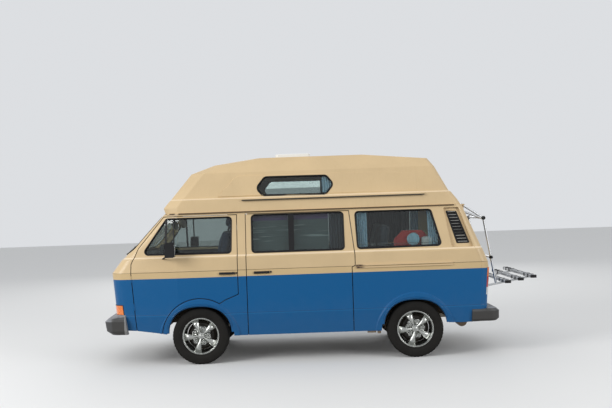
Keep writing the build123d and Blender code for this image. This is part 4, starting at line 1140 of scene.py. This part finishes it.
for y in cab["visors"]:
    visor = boxPart((-0.010, y - 0.200, -0.150), (0.010, y + 0.200, 0.0), 0.008, 3)
    visors.append(movePart(visor, Matrix.Translation((screenTop + 0.120, 0, 1.690)) @ turned("Y", -18)))
rearMirror = boxPart((screenTop + 0.060, -0.110, 1.585), (screenTop + 0.082, 0.110, 1.640), 0.010, 3)
stalk = tubePart([(screenTop + x, 0, z) for x, z in ((0.066, 1.635), (0.100, 1.700), (0.130, 1.712))], 0.006, 8)
mirrorPane = boxPart((screenTop + 0.0815, -0.102, 1.592), (screenTop + 0.0832, 0.102, 1.633))
for name, parts, look in (("binnacle", [binnacle], "cabPlastic"), ("dialFaces", dials, "dialFace"),
                          ("dialMarks", marks, "dialMark"), ("cabControls", controls, "blackPlastic"),
                          ("sunVisors", visors, "headlining"), ("rearMirror", [rearMirror, stalk], "cabPlastic"),
                          ("rearMirrorGlass", [mirrorPane], "mirrorFace")):
    newPiece(name, joinParts(parts), look)

# Steering wheel: rim, two sloping spokes and a padded hub
wheelTilt = shiftTo(0.708, driver, 1.224) @ turned("Y", 30) @ turned("X", 90)
wheelParts = [tubePart([(u, 0, v) for u, v in circle(0.196, 64)], 0.0125, 14, closed=True),
              lathePart([(0.0005, -0.026), (0.030, -0.025), (0.052, -0.020), (0.060, -0.010), (0.058, 0.004),
                         (0.034, 0.016), (0.026, 0.018), (0.0005, 0.018)], 36)]
spokeOutline = ((-1, -0.6), (-1, 0.6), (-0.6, 1), (0.6, 1), (1, 0.6), (1, -0.6), (0.6, -1), (-0.6, -1))
rows = []
for share in (k / 6 for k in range(7)):
    half, depth = 0.034 - 0.016 * share, 0.012 - 0.004 * share
    rows.append([(0.030 + 0.160 * share, 0.012 * share - 0.010 + dy * depth, dz * half)
                 for dy, dz in spokeOutline])
for angle in (18, 162):
    wheelParts.append(movePart(gridPart(rows, wrapColumns=True, capEnds=True), turned("Y", angle)))
newPiece("steeringRim", movePart(joinParts(wheelParts), wheelTilt), "cabPlastic", ["steering_wheel"],
         "steering_wheel")
print("cab made")

# Living space: worktop, hob, sink and tap on the kitchen unit, its doors, and the bench's front
kitchen = {"front": 1.760, "rear": 2.560, "side": 0.420, "face": 0.408, "top": 1.190, "wall": 0.850,
           "middle": 0.625, "burners": (1.880, 2.030), "sink": 2.340, "rows": ((0.540, 0.960), (0.972, 1.170)),
           "doors": 3, "doorWidth": 0.250, "doorStep": 0.262, "benchDoors": (-0.624, -0.064)}
faceUp = turned("X", -90)


# Bar bent to a level ring
def ringBar(s, z, radius, bar, count, around):
    points = [(station(s) + u, kitchen["middle"] + v, z) for u, v in circle(radius, count)]
    return tubePart(points, bar, around, closed=True)


newPiece("worktop", stationBox((kitchen["front"] - 0.004, kitchen["face"], kitchen["top"] + 0.0004),
                               (kitchen["rear"] + 0.004, kitchen["wall"], kitchen["top"] + 0.022), 0.006, 2),
         "worktop")
sink = kitchen["sink"]
steel = [stationBox((1.800, 0.470, 1.2120), (2.110, 0.780, 1.2155), 0.0015, 1),
         ringBar(sink, 1.214, 0.110, 0.006, 32, 8),
         movePart(lathePart([(0.0005, -0.0010), (0.060, -0.0010), (0.106, -0.0018)], 32),
                  shiftTo(sink, kitchen["middle"], 1.2125) @ faceUp)]
for s in kitchen["burners"]:
    steel.append(ringBar(s, 1.222, 0.050, 0.004, 24, 6))
    steel.append(movePart(lathePart([(0.0005, -0.008), (0.022, -0.007), (0.026, 0.0)], 20),
                          shiftTo(s, kitchen["middle"], 1.2155) @ faceUp))
tap = placed([(sink, 0.790, 1.212), (sink, 0.790, 1.320), (sink, 0.775, 1.345), (sink, 0.720, 1.350),
              (sink, 0.690, 1.335)])
steel.append(tubePart(softPath(tap, 0.02), 0.007))
fronts, knobs = [], []
knob = lathePart([(0.0005, -0.022), (0.010, -0.020), (0.012, -0.012), (0.006, -0.006), (0.006, 0.0)], 16)
for k in range(kitchen["doors"]):
    low = kitchen["front"] + 0.012 + kitchen["doorStep"] * k
    for bottom, top in kitchen["rows"]:
        fronts.append(stationBox((low, kitchen["face"], bottom),
                                 (low + kitchen["doorWidth"], kitchen["side"] - 0.0005, top), 0.003, 2))
        knobs.append(movePart(knob, shiftTo(low + kitchen["doorWidth"] / 2, kitchen["face"], (bottom + top) / 2)))
for y in kitchen["benchDoors"]:
    fronts.append(stationBox((2.628, y, 0.520), (2.6395, y + 0.548, 0.780), 0.003, 2))
for name, parts, look in (("hobAndSink", steel, "chrome"), ("cabinetFronts", fronts, "cabinetWood"),
                          ("cabinetKnobs", knobs, "chrome")):
    newPiece(name, joinParts(parts), look)
print("living space made")


# Box along the tail's surface, from its middle, half width and half height
def tailBlock(y, z, halfWide, halfHigh, depth, radius):
    place, normal = onEnd("tail", y, z)
    lean = math.degrees(math.atan2(normal.z, normal.x))
    shape = boxPart((-0.003, -halfWide, -halfHigh), (depth, halfWide, halfHigh), radius, 3)
    return movePart(shape, Matrix.Translation(place) @ turned("Y", -lean))


# Tailgate handle with its lock
newPiece("tailgateHandle", joinParts([tailBlock(0.0, 0.935, 0.075, 0.016, 0.020, 0.008),
                                      tailBlock(0.120, 0.935, 0.013, 0.013, 0.008, 0.004)]),
         "blackPlastic", body="tailgate")

# Rack: collars, clamps, knobs and end caps on its bars, caps and straps on the channels
rack = {"side": 0.430, "joint": (4.515, 1.558), "clamp": (4.590, 1.084), "start": (4.505, 0.742),
        "end": (5.077, 0.842), "tube": 0.013, "channels": (4.730, 4.880, 5.030), "capInner": 0.648,
        "capOuter": 0.666, "straps": (0.360, 0.520)}
knob = lathePart([(0.0005, -0.036), (0.011, -0.035), (0.014, -0.031), (0.014, -0.021), (0.008, -0.016),
                  (0.008, 0.0)], 20)
collar = lathePart([(0.0150, -0.022), (0.0232, -0.022), (0.0232, 0.022), (0.0150, 0.022)], 24, closed=True)
clamp = boxPart((-0.018, -0.022, -0.018), (0.018, 0.022, 0.018), 0.006, 2)
cap = lathePart([(0.0005, -0.022), (0.012, -0.021), (0.0155, -0.014), (0.0155, 0.012), (0.0005, 0.012)], 20)
strapLoop = ((-0.0350, -0.0065), (0.0350, -0.0065), (0.0350, 0.0275), (0.0250, 0.0290), (0.0, 0.0300),
             (-0.0250, 0.0290), (-0.0350, 0.0275))
fittings, straps = [], []
(startAt, startHigh), (endAt, endHigh) = rack["start"], rack["end"]
for side, _ in sides:
    y = side * rack["side"]
    for (s, z), part in ((rack["joint"], collar), (rack["clamp"], clamp)):
        fittings.append(movePart(part, shiftTo(s, y, z)))
        fittings.append(sidePart(movePart(knob, shiftTo(s, -rack["side"] - 0.022, z)), side))
    for s, z in (rack["start"], rack["end"]):
        fittings.append(sidePart(movePart(cap, shiftTo(s, -rack["side"], z)), side))
    for s in rack["channels"]:
        z = startHigh + (endHigh - startHigh) * (s - startAt) / (endAt - startAt) + rack["tube"]
        low, high = sorted((side * rack["capInner"], side * rack["capOuter"]))
        fittings.append(stationBox((s - 0.0345, low, z - 0.0065), (s + 0.0345, high, z + 0.0285), 0.003, 2))
        for start in rack["straps"]:
            rows = [[(station(s) + dx * grow, side * start + dy, z + dz * grow) for dx, dz in strapLoop]
                    for dy, grow in ((-0.012, 1.0), (-0.012, 1.05), (0.012, 1.05), (0.012, 1.0))]
            straps.append(gridPart(rows, wrapRows=True, wrapColumns=True))
newPiece("rackFittings", joinParts(fittings), "blackPlastic", body="tailgate")
newPiece("rackStraps", joinParts(straps), "strapWeb", body="tailgate")

# Black sheets behind the foot of the sliding door's gaps as painted shade, and rusty jacking brackets under the
# sills
gapShadeStrips = [stationBox((s - 0.024, -0.862, 0.323), (s + 0.024, -0.850, 0.438)) for s in (1.682, 2.902)]
newPiece("sillStrips", joinParts(gapShadeStrips), "shadeBlack")
bracket = joinParts([stationBox((3.050, -0.868, 0.296), (3.150, -0.838, 0.3215), 0.004, 2),
                     stationBox((3.165, -0.868, 0.284), (3.205, -0.838, 0.3215), 0.006, 2)])
newPiece("jackBrackets", joinParts([sidePart(bracket, side) for side, _ in sides]), "exhaustSteel")

# Fuel flap on the right side: a dark gap round a panel with a lock
flap = [(1.700, 0.610), (1.840, 0.610), (1.840, 0.750), (1.700, 0.750)]
gap = beadPart([onSide(1, p.x, p.y, -0.0006) for p, n in roundOutline(flap, 0.022, 0.02)], 0.0022, closed=True)
newPiece("fuelFlapGap", gap, "panelGap")
lock = sidePart(lathePart([(0.0005, -0.0035), (0.008, -0.0030), (0.010, 0.003)], 20), 1)
newPiece("fuelFlapLock", movePart(lock, Matrix.Translation(onSide(1, 1.722, 0.680)[0])), "chrome")
print("tail and flap made")

# Camera, from a fit to the wheel hubs, sills, windows and bumpers in the photograph
cameraFit = {"focalPixels": 800.0, "frameWidth": 612, "place": (station(2.402), -10.037, 1.730),
             "yaw": -0.04, "pitch": 0.40, "roll": -1.98}


def makeCamera(fit):
    data = bpy.data.cameras.new("camera")
    data.sensor_width = 36.0
    data.lens = data.sensor_width * fit["focalPixels"] / fit["frameWidth"]
    camera = bpy.data.objects.new("camera", data)
    bpy.context.scene.collection.objects.link(camera)
    yaw, pitch, roll = (math.radians(fit[k]) for k in ("yaw", "pitch", "roll"))
    forward = Vector((math.sin(yaw) * math.cos(pitch), math.cos(yaw) * math.cos(pitch), math.sin(pitch)))
    level = forward.cross(Vector((0, 0, 1))).normalized()
    upright = level.cross(forward)
    right = level * math.cos(roll) + upright * math.sin(roll)
    up = upright * math.cos(roll) - level * math.sin(roll)
    turn = Matrix((right, up, -forward)).transposed().to_4x4()
    camera.matrix_world = Matrix.Translation(Vector(fit["place"])) @ turn
    bpy.context.scene.camera = camera


# Lamps: place, size, power in watts
studio = {
    "floorHalf": 40.0,
    "world": 0.68,
    "seen": 0.80,
    "lamps": {"key": ((-11, -8, 6), 6, 1160), "fill": ((10, -9, 5), 6, 620), "back": ((0, 11, 6), 8, 270)},
}


# Rays that show the surroundings: straight, mirrored or through glass
def seenDirectly(graph):
    rays = graph.add("LightPath").outputs
    shown = graph.maths("MAXIMUM", rays["Is Camera Ray"], rays["Is Glossy Ray"])
    return graph.maths("MAXIMUM", shown, rays["Is Transmission Ray"])


def makeStudio():
    scene = bpy.context.scene
    scene.view_settings.view_transform = "Standard"
    world = bpy.data.worlds.new("studio")
    scene.world = world
    world.use_nodes = True
    backdrop = world.node_tree.nodes["Background"].inputs
    backdrop["Color"].default_value = (0.90, 0.92, 0.95, 1)
    sky = Graph(world.node_tree)
    sky.feed(backdrop["Strength"], sky.maths("MULTIPLY_ADD", seenDirectly(sky), studio["seen"] - studio["world"],
                                             studio["world"]))
    half = studio["floorHalf"]
    corners = [(-half, -half, 0), (half, -half, 0), (half, half, 0), (-half, half, 0)]
    floor = meshObject("floor", (corners, [(0, 1, 2, 3)]))
    graph = newLook("studioFloor")
    graph.finish({"Base Color": graph.mix(seenDirectly(graph), (0.14, 0.14, 0.13), (0.78, 0.78, 0.77)),
                  "Roughness": 0.9})
    floor.data.materials.append(looks["studioFloor"])
    for name, (place, size, power) in studio["lamps"].items():
        data = bpy.data.lights.new(name, "AREA")
        data.size = size
        data.energy = power
        lamp = bpy.data.objects.new(name, data)
        scene.collection.objects.link(lamp)
        lamp.location = place
        lamp.rotation_euler = (Vector((0, 0, 1)) - Vector(place)).to_track_quat("-Z", "Y").to_euler()


makeCamera(cameraFit)
makeStudio()
